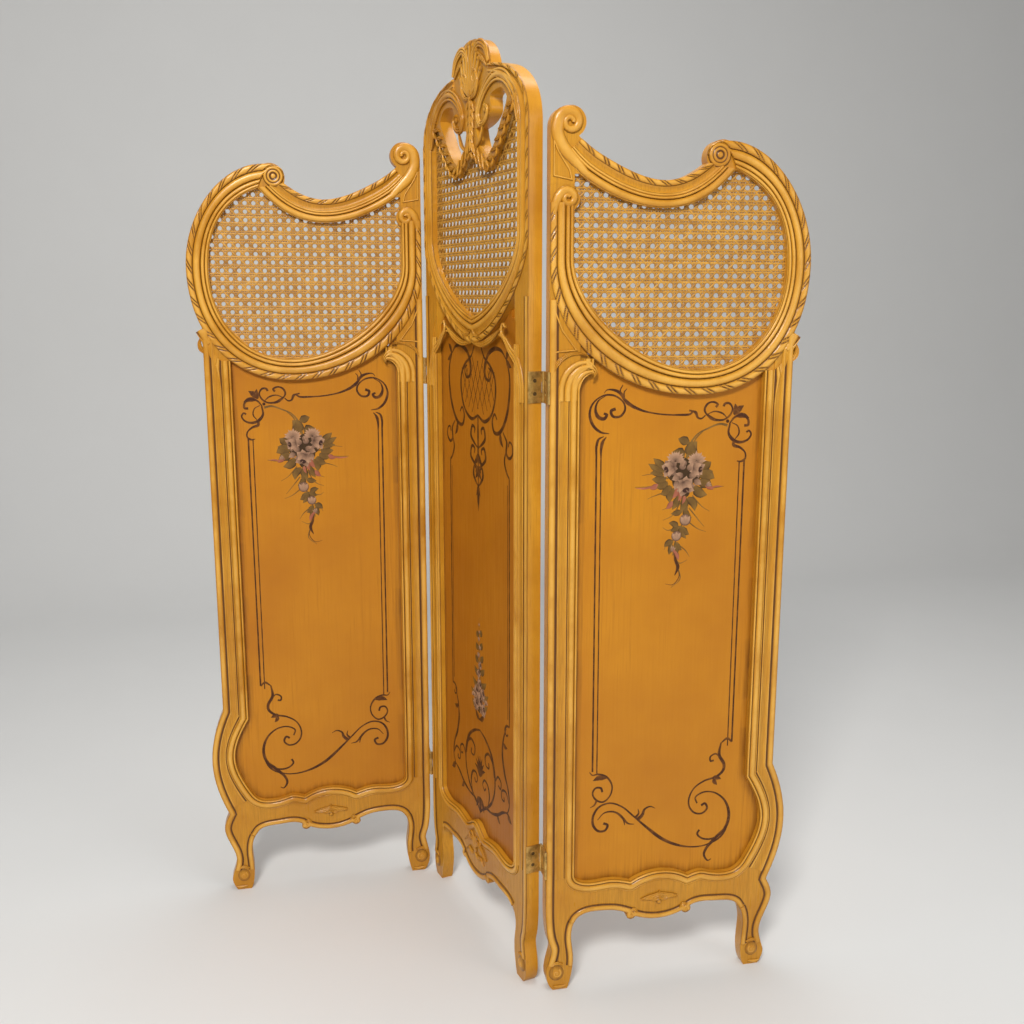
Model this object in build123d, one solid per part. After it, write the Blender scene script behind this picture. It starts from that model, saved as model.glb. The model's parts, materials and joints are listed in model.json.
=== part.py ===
from build123d import *
import math
import os

# Three-leaf folding screen with cane tops, in millimetres, +Z up.
# A leaf is drawn flat: u runs along the leaf from its hinge edge, z is the height above the floor,
# and y is the depth, 0 on the carved front face and board_depth on the back.

# Boards
board_depth = 29.0
relief = 2.0
lap_depth = 14.0
peg_radius = 3.0
peg_depth = 24.0

# Hinge edge, leg and foot, the same on every leaf
hinge_stile_width = 58.0
leg_top = 185.0
ankle_inset = 11.0
ankle_height = 80.0
toe_inset = 3.0
toe_height = 44.0
foot_start = 16.0
foot_end = 46.0
leg_inner = 57.0
leg_inner_height = 78.0
leg_neck = 53.0
leg_neck_height = 122.0
rail_height = 166.0

# Side leaf
straight_edge = 474.0
bulge_reach = 504.0
bulge_height = 330.0
kink_height = 450.0
notch_reach = 471.5
notch_height = 195.0
knee_reach = 484.0
knee_height = 163.0
outer_foot_start = 430.0
outer_foot_end = 462.0
outer_leg_inner = 422.0
outer_ankle = 461.0
outer_ankle_height = 74.0
rail_arch_u = 118.0
apron_low = 134.0
apron_scroll_radius = 10.0
apron_scroll_left = 170.0
apron_scroll_right = 306.0
apron_scroll_height = 154.0
panel_edge = 418.0
panel_bulge = 452.0
panel_bottom = 228.0
panel_hump = 11.0
cusp_left_u = 176.0
cusp_right_u = 298.0
cusp_drop = 6.0
arch_height = 1222.0
arch_size = 26.0

# Crown of the side leaf: cane ring, concave top rail, volutes and rosette
ring_left_height = 1440.0
ring_low_u = 285.0
ring_low = ring_left_height - 237.0
ring_reach = 500.0
hood_u = 330.0
hood_top = ring_left_height + 217.0
rail_low_u = 208.0
rail_low = ring_left_height + 146.5
volute_u = 37.0
volute_z = ring_left_height + 241.0
volute_radius = 27.0
small_volute_u = 34.0
small_volute_z = ring_left_height + 111.0
small_volute_radius = 20.0
rosette_u = 312.0
rosette_z = ring_left_height + 192.0
rosette_radius = 22.0
rosette_height = 1.0
cane_left = 44.0
cane_low = ring_low + 46.0
cane_right = 454.0
cane_apex_u = 345.0
cane_apex = rosette_z - 24.0
cane_top_low = rail_low - 48.0
cane_top_start = volute_z - 87.0

# Centre leaf
centre_width = 508.0
centre_apron_low = 118.0
centre_rail_height = 152.0
centre_arch_u = 124.0
centre_scroll_inset = 72.0
centre_cusp_inset = 46.0
shoulder_u = 168.0
shoulder_top = 1808.0
shoulder_start = shoulder_top - 128.0
crest_top = shoulder_top + 56.0
shield_start = shoulder_top - 318.0
shield_low = shoulder_top - 517.0
shield_cane_start = shield_start + 10.0
shield_cane_low = shield_low + 51.0
crest_split = shoulder_top - 208.0
cane_peak = crest_split + 64.0
cane_valley_u = 180.0
cane_valley = crest_split + 17.0
cane_corner = shoulder_top - 70.0
hole_tip = cane_valley + 23.0
hole_top = cane_corner + 20.0
stem_half = 23.0
stem_height = hole_tip + 61.0
centre_arch_height = shield_low + 5.0
centre_arch_size = 42.0
centre_hump = 18.0

# Cane net and the reed spline behind it
cane_seat = 13.0
cane_lip = 5.0
cane_thickness = 1.2
cane_clearance = 1.0
spline_depth = 4.0
spline_width = 4.0
net_pitch = 19.5
net_gap = 8.5
net_margin = 7.0

# Painted panel, its moulding and rear bead
panel_seat = 13.0
panel_lip = 7.0
panel_thickness = 6.0
panel_clearance = 1.0
bead_depth = 6.0
bead_cover = 3.0
moulding_width = 20.0
moulding_seat = 4.0

# Bottom rail tenons
tenon_length = 36.0
tenon_low = 168.0
tenon_high = 212.0
tenon_front = 9.0
tenon_back = 20.0

# Laps behind the crown, where it is pegged to the stiles
stile_lap_width = 36.0
outer_lap_start = 438.0
outer_lap_end = 466.0
outer_lap_low = ring_low + 30.0
outer_lap_height = 85.0

# Carved ornament on the bottom rail
ornament_height = 180.0
ornament_half = 40.0
ornament_depth = 2.0
ornament_ball = 6.0

# Hinges: plate, link and plate, with a pin on the front and one on the back
fold_angle = 76.42
plate_thickness = 1.6
running_gap = 0.3
knuckle_radius = 2.6
pin_radius = 1.4
pin_clearance = 0.05
pin_stand = 2.8
hinge_height = 58.0
hinge_low_z = 280.0
hinge_high_z = 1220.0
plate_inset = 0.5
screw_pitch = 24.0
screw_head_radius = 3.6
screw_radius = 1.7
screw_length = 18.0
access_radius = 4.2
knuckle_gap = 0.3

# Reach of a cutting shape beyond a leaf, and the point spacing of a redrawn edge
beyond = 10.0
far = 3000.0
spline_span = 12.0


def bow(start, first, second, end):
    """One smooth curve with a handle at each end."""
    return Bezier(start, first, second, end)


def quarter(start, end, fullness, upright_first):
    """A quarter turn between an upright and a level tangent."""
    du = (end[0] - start[0]) * fullness
    dz = (end[1] - start[1]) * fullness
    if upright_first:
        return bow(start, (start[0], start[1] + dz), (end[0] - du, end[1]), end)
    return bow(start, (start[0] + du, start[1]), (end[0], end[1] - dz), end)


def outline(*edges):
    """A face from edges that follow each other round, facing up."""
    face = Face(Wire(list(edges)))
    if face.normal_at().Z < 0:
        face = -face
    return Sketch() + face


def block(u0, z0, u1, z1):
    """A rectangle between two corners."""
    return Pos((u0 + u1) / 2, (z0 + z1) / 2) * Rectangle(u1 - u0, z1 - z0)


def disc(u, z, radius):
    """A round face."""
    return Pos(u, z) * Circle(radius)


def smoothed(edge):
    """A curved edge as one spline through evenly spaced points, with its own end directions."""
    if edge.geom_type in (GeomType.LINE, GeomType.CIRCLE):
        return edge
    spans = max(2, int(edge.length / spline_span) + 1)
    points = [edge.position_at(step / spans) for step in range(spans + 1)]
    return Edge.make_spline(points, tangents=[edge.tangent_at(0), edge.tangent_at(1)])


def grown(face, amount):
    """The face with its edge moved outwards, or inwards for a negative amount."""
    moved_face = offset(face, amount, kind=Kind.ARC).face()
    return outline(*[smoothed(edge) for edge in moved_face.outer_wire().order_edges()])


def board(face, front, back):
    """A flat face as a solid between two depths."""
    return Rot(X=90) * (Pos(0, 0, -back) * extrude(face, amount=back - front, dir=(0, 0, 1)))


def bar_through(u, z, radius, front, back):
    """A round bar along the depth."""
    return board(disc(u, z, radius), front, back)


def flipped(shape, width):
    """The other half of a symmetrical leaf, for flat faces."""
    return Pos(width, 0) * mirror(shape, about=Plane.YZ)


def hinge_leg_outer():
    """Hinge edge of the leg, from the floor up to the straight edge."""
    return Spline(
        (foot_start, 0),
        (toe_inset, toe_height),
        (ankle_inset, ankle_height),
        (0, leg_top),
        tangents=((-1, 1), (0, 1)),
    )


def hinge_leg_inner(rail_top, arch_u, end):
    """Inner edge of the leg and the hollow of the bottom rail."""
    return Spline(
        (foot_end, 0),
        (leg_inner, leg_inner_height),
        (leg_neck, leg_neck_height),
        (leg_neck + 13, rail_top - 10),
        (arch_u, rail_top),
        end,
        tangents=((1, 3), (1, -0.45)),
    )


def apron_scroll(cusp, inward):
    """The round end of a scroll where the lower edge of the bottom rail turns down."""
    return disc(cusp[0] + inward * 0.9 * apron_scroll_radius, cusp[1] - 0.6 * apron_scroll_radius, apron_scroll_radius)


def side_lower_face():
    """Silhouette of a side leaf below its crown."""
    left_scroll = (apron_scroll_left, apron_scroll_height)
    right_scroll = (apron_scroll_right, apron_scroll_height)
    mid_u = (apron_scroll_left + apron_scroll_right) / 2
    return outline(
        hinge_leg_outer(),
        Line((0, leg_top), (0, hood_top)),
        Line((0, hood_top), (straight_edge, hood_top)),
        Line((straight_edge, hood_top), (straight_edge, kink_height)),
        Spline(
            (straight_edge, kink_height),
            (bulge_reach, bulge_height),
            (notch_reach, notch_height),
            tangents=((0.45, -1), (-0.45, -1)),
        ),
        Spline(
            (notch_reach, notch_height),
            (knee_reach, knee_height),
            (outer_ankle, outer_ankle_height),
            (outer_foot_end + 9, 38),
            (outer_foot_end, 0),
            tangents=((0.5, -1), (-0.6, -1)),
        ),
        Line((outer_foot_end, 0), (outer_foot_start, 0)),
        Spline(
            (outer_foot_start, 0),
            (outer_leg_inner, 60),
            (outer_leg_inner + 1, 112),
            (outer_leg_inner - 18, rail_height - 17),
            (outer_leg_inner - 62, rail_height - 8),
            right_scroll,
            tangents=((-0.5, 1), (-1, -0.5)),
        ),
        ThreePointArc(right_scroll, (mid_u, apron_low), left_scroll),
        hinge_leg_inner(rail_height, rail_arch_u, left_scroll).edges()[0].reversed(),
        Line((foot_end, 0), (foot_start, 0)),
    ) + apron_scroll(left_scroll, 1) + apron_scroll(right_scroll, -1)


def side_crown_face():
    """Whole outer shape of the ring, the top rail and the hinge stile beside them."""
    volute_top = volute_z + volute_radius
    rail_end = (volute_u + 15, volute_z - volute_radius + 2)
    hood_left = (rosette_u - rosette_radius, rosette_z - 14)
    ring = outline(
        Line((0, rail_end[1]), (0, ring_left_height)),
        quarter((0, ring_left_height), (ring_low_u, ring_low), 0.55, True),
        quarter((ring_low_u, ring_low), (ring_reach, ring_left_height), 0.6, False),
        quarter((ring_reach, ring_left_height), (hood_u, hood_top), 0.52, True),
        ThreePointArc(
            (hood_u, hood_top),
            (rosette_u - rosette_radius + 4, rosette_z + 14),
            hood_left,
        ),
        Spline(
            hood_left,
            (rail_low_u, rail_low),
            (102, rail_low + 35.5),
            rail_end,
            tangents=((-1, -0.75), (-1, 0.85)),
        ),
        Line(rail_end, (0, rail_end[1])),
    )
    volute = outline(
        Line((0, rail_end[1] - 1), (0, volute_z - 8)),
        quarter((0, volute_z - 8), (volute_u, volute_top), 0.6, True),
        Line((volute_u, volute_top), rail_end),
        Line(rail_end, (0, rail_end[1] - 1)),
    )
    return ring + volute + disc(volute_u, volute_z, volute_radius)


def side_cane_face():
    """The cane opening of a side leaf."""
    face = outline(
        Line((cane_left, cane_top_start), (cane_left, ring_left_height + 10)),
        quarter((cane_left, ring_left_height + 10), (ring_low_u, cane_low), 0.45, True),
        quarter((ring_low_u, cane_low), (cane_right, ring_left_height - 5), 0.58, False),
        bow(
            (cane_right, ring_left_height - 5),
            (cane_right, ring_left_height + 100),
            (cane_apex_u + 58, cane_apex - 22),
            (cane_apex_u, cane_apex),
        ),
        bow(
            (cane_apex_u, cane_apex),
            (cane_apex_u - 40, cane_apex - 46),
            (rail_low_u + 57, cane_top_low),
            (rail_low_u, cane_top_low),
        ),
        bow(
            (rail_low_u, cane_top_low),
            (rail_low_u - 60, cane_top_low),
            (cane_left + 46, cane_top_start - 28),
            (cane_left + 8, cane_top_start),
        ),
        Line((cane_left + 8, cane_top_start), (cane_left, cane_top_start)),
    )
    return face - disc(small_volute_u, small_volute_z, small_volute_radius)


def side_panel_face():
    """The painted panel's opening in a side leaf, before the ring covers its top."""
    left = hinge_stile_width
    cusp_left = (cusp_left_u, panel_bottom - cusp_drop)
    cusp_right = (cusp_right_u, panel_bottom - cusp_drop)
    hump = ((cusp_left_u + cusp_right_u) / 2, panel_bottom + panel_hump)
    over = ring_left_height
    return outline(
        Line((left, panel_bottom + 22), (left, arch_height)),
        quarter((left, arch_height), (left + arch_size, arch_height + arch_size), 0.55, True),
        Line((left + arch_size, arch_height + arch_size), (left + arch_size, over)),
        Line((left + arch_size, over), (panel_edge, over)),
        Line((panel_edge, over), (panel_edge, kink_height - 24)),
        Spline(
            (panel_edge, kink_height - 24),
            (panel_bulge, bulge_height + 4),
            (panel_edge, panel_bottom + 13),
            tangents=((0.6, -1), (-0.6, -1)),
        ),
        Spline(
            (panel_edge, panel_bottom + 13),
            (panel_edge - 22, panel_bottom - 6),
            (340, panel_bottom - 3),
            cusp_right,
            tangents=((-0.6, -1), (-1, -0.35)),
        ),
        ThreePointArc(cusp_right, hump, cusp_left),
        Spline(
            cusp_left,
            (136, panel_bottom + 3),
            (left + 20, panel_bottom + 3),
            (left, panel_bottom + 22),
            tangents=((-1, 0.35), (0, 1)),
        ),
    )


def centre_lower_face():
    """Silhouette of the centre leaf below its shield."""
    half = centre_width / 2
    scroll = (half - centre_scroll_inset, centre_rail_height - 6)
    side = outline(
        hinge_leg_outer(),
        Line((0, leg_top), (0, shoulder_start)),
        Line((0, shoulder_start), (half, shoulder_start)),
        Line((half, shoulder_start), (half, centre_apron_low)),
        bow(
            (half, centre_apron_low),
            (half - 34, centre_apron_low),
            (scroll[0] + 16, scroll[1] - 14),
            scroll,
        ),
        hinge_leg_inner(centre_rail_height, centre_arch_u, scroll).edges()[0].reversed(),
        Line((foot_end, 0), (foot_start, 0)),
    ) + apron_scroll(scroll, 1)
    return side + flipped(side, centre_width)


def centre_crown_face():
    """Outer shape of the shield and the cresting."""
    half = centre_width / 2
    side = outline(
        Line((half, crest_top), (half, shield_low)),
        bow((half, shield_low), (half - 104, shield_low), (0, shield_start - 70), (0, shield_start)),
        Line((0, shield_start), (0, shoulder_start)),
        Spline(
            (0, shoulder_start),
            (46, shoulder_top - 38),
            (shoulder_u, shoulder_top),
            tangents=((0, 1), (1, 0.1)),
        ),
        Spline(
            (shoulder_u, shoulder_top),
            (shoulder_u + 18, shoulder_top + 31),
            (shoulder_u + 47, crest_top - 6),
            (half, crest_top),
            tangents=((0.4, 1), (1, 0)),
        ),
    )
    return side + flipped(side, centre_width)


def centre_cane_face():
    """The shield-shaped cane opening, with the pointed lobes of the carved edge above it."""
    half = centre_width / 2
    side = outline(
        Line((half, cane_peak), (half, shield_cane_low)),
        bow(
            (half, shield_cane_low),
            (half - 112, shield_cane_low + 24),
            (cane_left, shield_cane_start - 60),
            (cane_left, shield_cane_start),
        ),
        Line((cane_left, shield_cane_start), (cane_left, cane_corner)),
        Spline(
            (cane_left, cane_corner),
            (cane_left + 50, cane_corner - 33),
            (cane_left + 92, cane_corner - 92),
            (cane_valley_u, cane_valley),
            (half, cane_peak),
            tangents=((1, -0.1), (1, 0.15)),
        ),
    )
    return side + flipped(side, centre_width)


def almond_hole_face():
    """One open hole of the cresting, on the left of its stem."""
    tip = (cane_valley_u + 6, hole_tip)
    corner = (cane_left + 48, cane_corner)
    stem = (centre_width / 2 - stem_half, stem_height)
    return outline(
        Spline(
            corner,
            (cane_left + 70, hole_tip + 66),
            (cane_left + 98, hole_tip + 30),
            tip,
            tangents=((0.3, -1), (1, -0.4)),
        ),
        Spline(tip, (tip[0] + 28, hole_tip + 24), stem, tangents=((0.8, 0.6), (0.3, 1))),
        Spline(
            stem,
            (stem[0] - 40, stem_height + 7),
            (stem[0] - 68, stem_height + 29),
            (stem[0] - 66, stem_height + 47),
            (stem[0] - 90, hole_top),
            corner,
            tangents=((-1, 0.1), (-0.8, -1)),
        ),
    )


def centre_panel_face():
    """The painted panel's opening in the centre leaf, before the shield covers its top."""
    half = centre_width / 2
    left = hinge_stile_width
    over = shield_start
    inner_left = left + centre_arch_size
    cusp = (half - centre_cusp_inset, panel_bottom - 2)
    side = outline(
        Line((left, panel_bottom + 22), (left, centre_arch_height)),
        quarter((left, centre_arch_height), (inner_left, centre_arch_height + centre_arch_size), 0.55, True),
        Line((inner_left, centre_arch_height + centre_arch_size), (inner_left, over)),
        Line((inner_left, over), (half, over)),
        Line((half, over), (half, panel_bottom + centre_hump)),
        bow((half, panel_bottom + centre_hump), (half - 20, panel_bottom + centre_hump), (half - 26, cusp[1] + 6), cusp),
        Spline(
            cusp,
            (half - 110, panel_bottom + 5),
            (left + 20, panel_bottom + 3),
            (left, panel_bottom + 22),
            tangents=((-1, 0.2), (0, 1)),
        ),
    )
    return side + flipped(side, centre_width)


def net(opening):
    """Woven cane as one sheet with a square gap at each crossing of the open weave."""
    sheet = grown(opening, cane_lip)
    inner = grown(opening, -net_margin)
    box = inner.bounding_box()
    columns = int((box.max.X - box.min.X) / net_pitch) + 1
    rows = int((box.max.Y - box.min.Y) / net_pitch) + 1
    start_u = box.min.X + (box.max.X - box.min.X - (columns - 1) * net_pitch) / 2
    start_z = box.min.Y + (box.max.Y - box.min.Y - (rows - 1) * net_pitch) / 2
    gaps = []
    for row in range(rows):
        for column in range(columns):
            u = start_u + column * net_pitch
            z = start_z + row * net_pitch
            reach = net_gap / 2
            corners = [(u + du, z + dz) for du in (-reach, reach) for dz in (-reach, reach)]
            if all(inner.face().is_inside(Vector(cu, cz, 0)) for cu, cz in corners):
                gaps.append(Pos(u, z) * Rectangle(net_gap, net_gap))
    print("net gaps", len(gaps))
    return board(sheet - gaps, cane_seat, cane_seat + cane_thickness)


def panel_parts(opening, crown):
    """Moulding, painted panel and rear bead of one leaf, and the cuts that seat them."""
    seen = opening - crown
    moulding_face = grown(opening, moulding_width) - opening - crown
    moulding = board(moulding_face, -relief, moulding_seat)
    moulding_cut = board(grown(opening, moulding_width) - crown, -relief, moulding_seat)
    panel_face = grown(seen, panel_lip)
    panel = board(panel_face, panel_seat, panel_seat + panel_thickness)
    rebate_face = grown(seen, panel_lip + panel_clearance)
    rebate = board(rebate_face, panel_seat, board_depth)
    bead_front = panel_seat + panel_thickness
    bead = board(rebate_face - grown(seen, -bead_cover), bead_front, bead_front + bead_depth)
    through = board(seen, -relief, board_depth)
    return moulding, moulding_cut, panel, rebate, bead, through


def cane_parts(opening):
    """Net, reed spline and the rebate for them."""
    rebate = board(grown(opening, cane_lip + cane_clearance), cane_seat, board_depth)
    spline_front = cane_seat + cane_thickness
    spline_face = grown(opening, cane_lip) - grown(opening, cane_lip - spline_width)
    reed = board(spline_face, spline_front, spline_front + spline_depth)
    return net(opening), reed, rebate


def tenons(edges):
    """Tenons of the bottom rail, one at each stile."""
    parts = [
        board(block(min(u, v), tenon_low, max(u, v), tenon_high), tenon_front, tenon_back)
        for u, v in edges
    ]
    return parts[0] + parts[1]


def pegs(places):
    """Wooden pegs driven in from the back."""
    bars = [bar_through(u, z, peg_radius, board_depth - peg_depth, board_depth) for u, z in places]
    return bars


def wing_ornament(mid_u):
    """Low carved ornament in the middle of the bottom rail, two wings over a ball."""
    base = ornament_height
    peak = base + 15
    side = outline(
        Spline((mid_u - ornament_half, base), (mid_u - ornament_half * 0.45, base + 7), (mid_u, peak)),
        Line((mid_u, peak), (mid_u, base - 3)),
        Spline((mid_u, base - 3), (mid_u - ornament_half * 0.5, base - 2), (mid_u - ornament_half, base)),
    )
    ball = disc(mid_u, base - 9, ornament_ball)
    neck = block(mid_u - 2, base - 9, mid_u + 2, base)
    return board(side + flipped(side, 2 * mid_u) + ball + neck, -ornament_depth, 0)


def screw_holes(places, edge_u, inward):
    """Pilot holes for the hinge screws in the edge of a stile."""
    holes = []
    for z in places:
        for side in (-1, 1):
            height = z + side * screw_pitch / 2
            hole = Pos(edge_u + inward * screw_length / 2, board_depth / 2, height)
            holes.append(hole * Rot(Y=90) * Cylinder(screw_radius, screw_length))
    return holes


def side_leaf():
    """Pieces of one side leaf, drawn with its hinge edge on the left."""
    lower = side_lower_face()
    crown = side_crown_face()
    cane = side_cane_face()
    opening = side_panel_face()
    band = crown - cane
    corner_u = cane_left + 8
    past_rosette = (2 * rosette_u - cane_apex_u, 2 * rosette_z - cane_apex)
    rail_zone = make_face(Polyline(
        (-beyond, volute_z - 11),
        (0, volute_z - 21),
        (corner_u, cane_top_start),
        (corner_u + 12, cane_top_start - 20),
        (corner_u + 12, ring_left_height),
        (cane_apex_u, ring_left_height),
        (cane_apex_u, cane_apex),
        past_rosette,
        (past_rosette[0], far),
        (-beyond, far),
        close=True,
    ))
    triangle_low = small_volute_z + small_volute_radius + 5
    stile_zone = block(-beyond, triangle_low, corner_u + 100, far)
    rail_face = band & rail_zone
    ring_face = band - rail_zone - stile_zone
    triangle = (band - rail_zone) & stile_zone
    stile_face = (lower & block(-beyond, -beyond, hinge_stile_width, ring_left_height)) - crown
    outer_face = (lower & block(panel_edge, -beyond, far, ring_left_height)) - crown
    bottom_zone = block(hinge_stile_width, ankle_height, panel_edge, kink_height)
    lap = board(crown & block(0, arch_height, stile_lap_width, volute_z), lap_depth, board_depth)
    outer_lap_high = outer_lap_low + outer_lap_height
    outer_lap_face = crown & block(outer_lap_start, outer_lap_low, outer_lap_end, outer_lap_high)
    outer_lap = board(outer_lap_face, lap_depth, board_depth)

    moulding, moulding_cut, panel, rebate, bead, through = panel_parts(opening, crown)
    cane_net, reed, cane_rebate = cane_parts(cane)
    rail_tenons = tenons((
        (hinge_stile_width - tenon_length, hinge_stile_width),
        (panel_edge, panel_edge + tenon_length),
    ))
    tenon_mid = (tenon_low + tenon_high) / 2
    leaf_pegs = pegs((
        (hinge_stile_width - tenon_length / 2, tenon_mid),
        (panel_edge + tenon_length / 2, tenon_mid),
        (stile_lap_width / 2, ring_left_height - 80),
        (stile_lap_width / 2, small_volute_z - 60),
        (stile_lap_width / 2, volute_z - 24),
        ((outer_lap_start + outer_lap_end) / 2, outer_lap_low + 0.68 * outer_lap_height),
    ))
    hinge_holes = screw_holes((hinge_low_z, hinge_high_z), 0, 1)

    stile = board(stile_face, 0, board_depth) + board(triangle, 0, board_depth) + lap
    stile = stile - moulding_cut - through - rebate - cane_rebate - rail_tenons - leaf_pegs - hinge_holes
    outer = board(outer_face, 0, board_depth) + outer_lap
    outer = outer - moulding_cut - through - rebate - cane_rebate - rail_tenons - leaf_pegs
    bottom = board((lower & bottom_zone) - opening, 0, board_depth) + rail_tenons
    bottom = bottom - moulding_cut - rebate - leaf_pegs
    ring = board(ring_face, -relief, board_depth) - lap - outer_lap - rebate - cane_rebate - leaf_pegs
    top_rail = board(rail_face, -relief, board_depth) - lap - cane_rebate - leaf_pegs
    rosette = bar_through(rosette_u, rosette_z, rosette_radius, -relief - rosette_height, -relief)
    return {
        "hinge_stile": stile,
        "outer_stile": outer,
        "bottom_rail": bottom,
        "cane_ring": ring,
        "top_rail": top_rail,
        "rosette": rosette,
        "cane_panel": cane_net,
        "cane_spline": reed,
        "panel_moulding": moulding,
        "painted_panel": panel,
        "rear_bead": bead,
        "pegs": leaf_pegs,
        "apron_ornament": wing_ornament((apron_scroll_left + apron_scroll_right) / 2),
    }


def centre_leaf():
    """Pieces of the centre leaf, drawn with its left edge at zero."""
    lower = centre_lower_face()
    hole = almond_hole_face()
    cane = centre_cane_face()
    crown = centre_crown_face()
    opening = centre_panel_face()
    band = crown - cane - hole - flipped(hole, centre_width)
    right_side = centre_width - hinge_stile_width
    crest_zone = block(-beyond, crest_split, centre_width + beyond, far)
    crest_face = band & crest_zone
    surround_face = band - crest_zone
    lap_face = crown & block(0, centre_arch_height, stile_lap_width, crest_split + 60)
    laps = [board(face, lap_depth, board_depth) for face in (lap_face, flipped(lap_face, centre_width))]
    moulding, moulding_cut, panel, rebate, bead, through = panel_parts(opening, crown)
    cane_net, reed, cane_rebate = cane_parts(cane)
    rail_tenons = tenons((
        (hinge_stile_width - tenon_length, hinge_stile_width),
        (right_side, right_side + tenon_length),
    ))
    tenon_mid = (tenon_low + tenon_high) / 2
    peg_places = []
    for u, z in (
        (hinge_stile_width - tenon_length / 2, tenon_mid),
        (stile_lap_width / 2, shield_start - 40),
        (stile_lap_width / 2, crest_split - 30),
        (stile_lap_width / 2, crest_split + 30),
    ):
        peg_places += [(u, z), (centre_width - u, z)]
    leaf_pegs = pegs(peg_places)
    stiles = []
    for zone, lap, edge_u, inward in (
        (block(-beyond, -beyond, hinge_stile_width, shoulder_start), laps[0], 0, 1),
        (block(right_side, -beyond, centre_width + beyond, shoulder_start), laps[1], centre_width, -1),
    ):
        stile = board((lower & zone) - crown, 0, board_depth) + lap
        stile = stile - moulding_cut - through - rebate - cane_rebate - rail_tenons - leaf_pegs
        stiles.append(stile - screw_holes((hinge_low_z, hinge_high_z), edge_u, inward))
    bottom_zone = block(hinge_stile_width, ankle_height, right_side, kink_height)
    bottom = board((lower & bottom_zone) - opening, 0, board_depth) + rail_tenons
    bottom = bottom - moulding_cut - rebate - leaf_pegs
    surround = board(surround_face, -relief, board_depth) - laps - rebate - cane_rebate - leaf_pegs
    cresting = board(crest_face, -relief, board_depth) - laps - cane_rebate - leaf_pegs
    return {
        "left_stile": stiles[0],
        "right_stile": stiles[1],
        "bottom_rail": bottom,
        "cane_surround": surround,
        "cresting": cresting,
        "cane_panel": cane_net,
        "cane_spline": reed,
        "panel_moulding": moulding,
        "painted_panel": panel,
        "rear_bead": bead,
        "pegs": leaf_pegs,
        "apron_ornament": wing_ornament(centre_width / 2),
    }


# Pins of the left hinge, in the plan of the centre leaf with the leaves in line
pin_centre = (-(plate_thickness + running_gap / 2), -pin_stand)
pin_side = (-(2 * plate_thickness + 1.5 * running_gap), board_depth + pin_stand)
leaf_gap = 3 * plate_thickness + 2 * running_gap


def knuckle(pin, z, height, near_x, far_x, inside_y):
    """A barrel round a pin, with the tab that joins it to its plate."""
    barrel = Pos(pin[0], pin[1], z) * Cylinder(knuckle_radius, height)
    tab_depth = abs(inside_y - pin[1])
    tab = Pos((near_x + far_x) / 2, (inside_y + pin[1]) / 2, z) * Box(plate_thickness, tab_depth, height)
    return barrel + tab


def hinge_plate(outer_x, z):
    """The flat of one plate."""
    width = board_depth - 2 * plate_inset
    return Pos(outer_x - plate_thickness / 2, board_depth / 2, z) * Box(plate_thickness, width, hinge_height)


def hinge_at(z):
    """One double-action hinge at the left edge of the centre leaf, with the leaves in line."""
    third = hinge_height / 3
    end_height = third - knuckle_gap
    ends = (z - third, z + third)
    lower_end = z - hinge_height / 2 + end_height / 2
    upper_end = z + hinge_height / 2 - end_height / 2
    front_edge = plate_inset
    back_edge = board_depth - plate_inset
    link_x = -(plate_thickness + running_gap)
    side_x = -(2 * plate_thickness + 2 * running_gap)

    centre_plate = hinge_plate(0, z)
    for height in (lower_end, upper_end):
        centre_plate += knuckle(pin_centre, height, end_height, 0, -plate_thickness, front_edge)
    side_plate = hinge_plate(side_x, z)
    for height in (lower_end, upper_end):
        side_plate += knuckle(pin_side, height, end_height, side_x, side_x - plate_thickness, back_edge)
    link = hinge_plate(link_x, z)
    link += knuckle(pin_centre, z, third, link_x, link_x - plate_thickness, front_edge)
    link += knuckle(pin_side, z, third, link_x, link_x - plate_thickness, back_edge)

    pin_a = Pos(pin_centre[0], pin_centre[1], z) * Cylinder(pin_radius, hinge_height)
    pin_b = Pos(pin_side[0], pin_side[1], z) * Cylinder(pin_radius, hinge_height)
    bore_a = Pos(pin_centre[0], pin_centre[1], z) * Cylinder(pin_radius + pin_clearance, hinge_height + 1)
    bore_b = Pos(pin_side[0], pin_side[1], z) * Cylinder(pin_radius + pin_clearance, hinge_height + 1)
    centre_plate -= bore_a
    side_plate -= bore_b
    link = link - pin_a - pin_b

    centre_screws = []
    side_screws = []
    for side in (-1, 1):
        height = z + side * screw_pitch / 2
        head = Cone(screw_head_radius, screw_radius, plate_thickness)
        shank = Cylinder(screw_radius, screw_length - plate_thickness)
        along = Pos(0, 0, screw_length / 2)
        screw = head + along * shank
        into_centre = Pos(-plate_thickness / 2, board_depth / 2, height) * Rot(Y=90)
        into_side = Pos(side_x - plate_thickness / 2, board_depth / 2, height) * Rot(Y=-90)
        centre_screws.append(into_centre * screw)
        side_screws.append(into_side * screw)
        access = Pos(link_x, board_depth / 2, height) * Rot(Y=90)
        link -= access * Cylinder(access_radius, 4 * plate_thickness)
    centre_plate = centre_plate - centre_screws
    side_plate = side_plate - side_screws
    return centre_plate, link, side_plate, [pin_a, pin_b], centre_screws, side_screws


def moved(shape, place):
    """A piece, or a list of loose pieces, at its place."""
    if isinstance(shape, list):
        return [place * item for item in shape]
    return place * shape


def turn_plan(point, degrees):
    """A plan point turned about the vertical."""
    angle = math.radians(degrees)
    return (
        point[0] * math.cos(angle) - point[1] * math.sin(angle),
        point[0] * math.sin(angle) + point[1] * math.cos(angle),
    )


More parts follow.
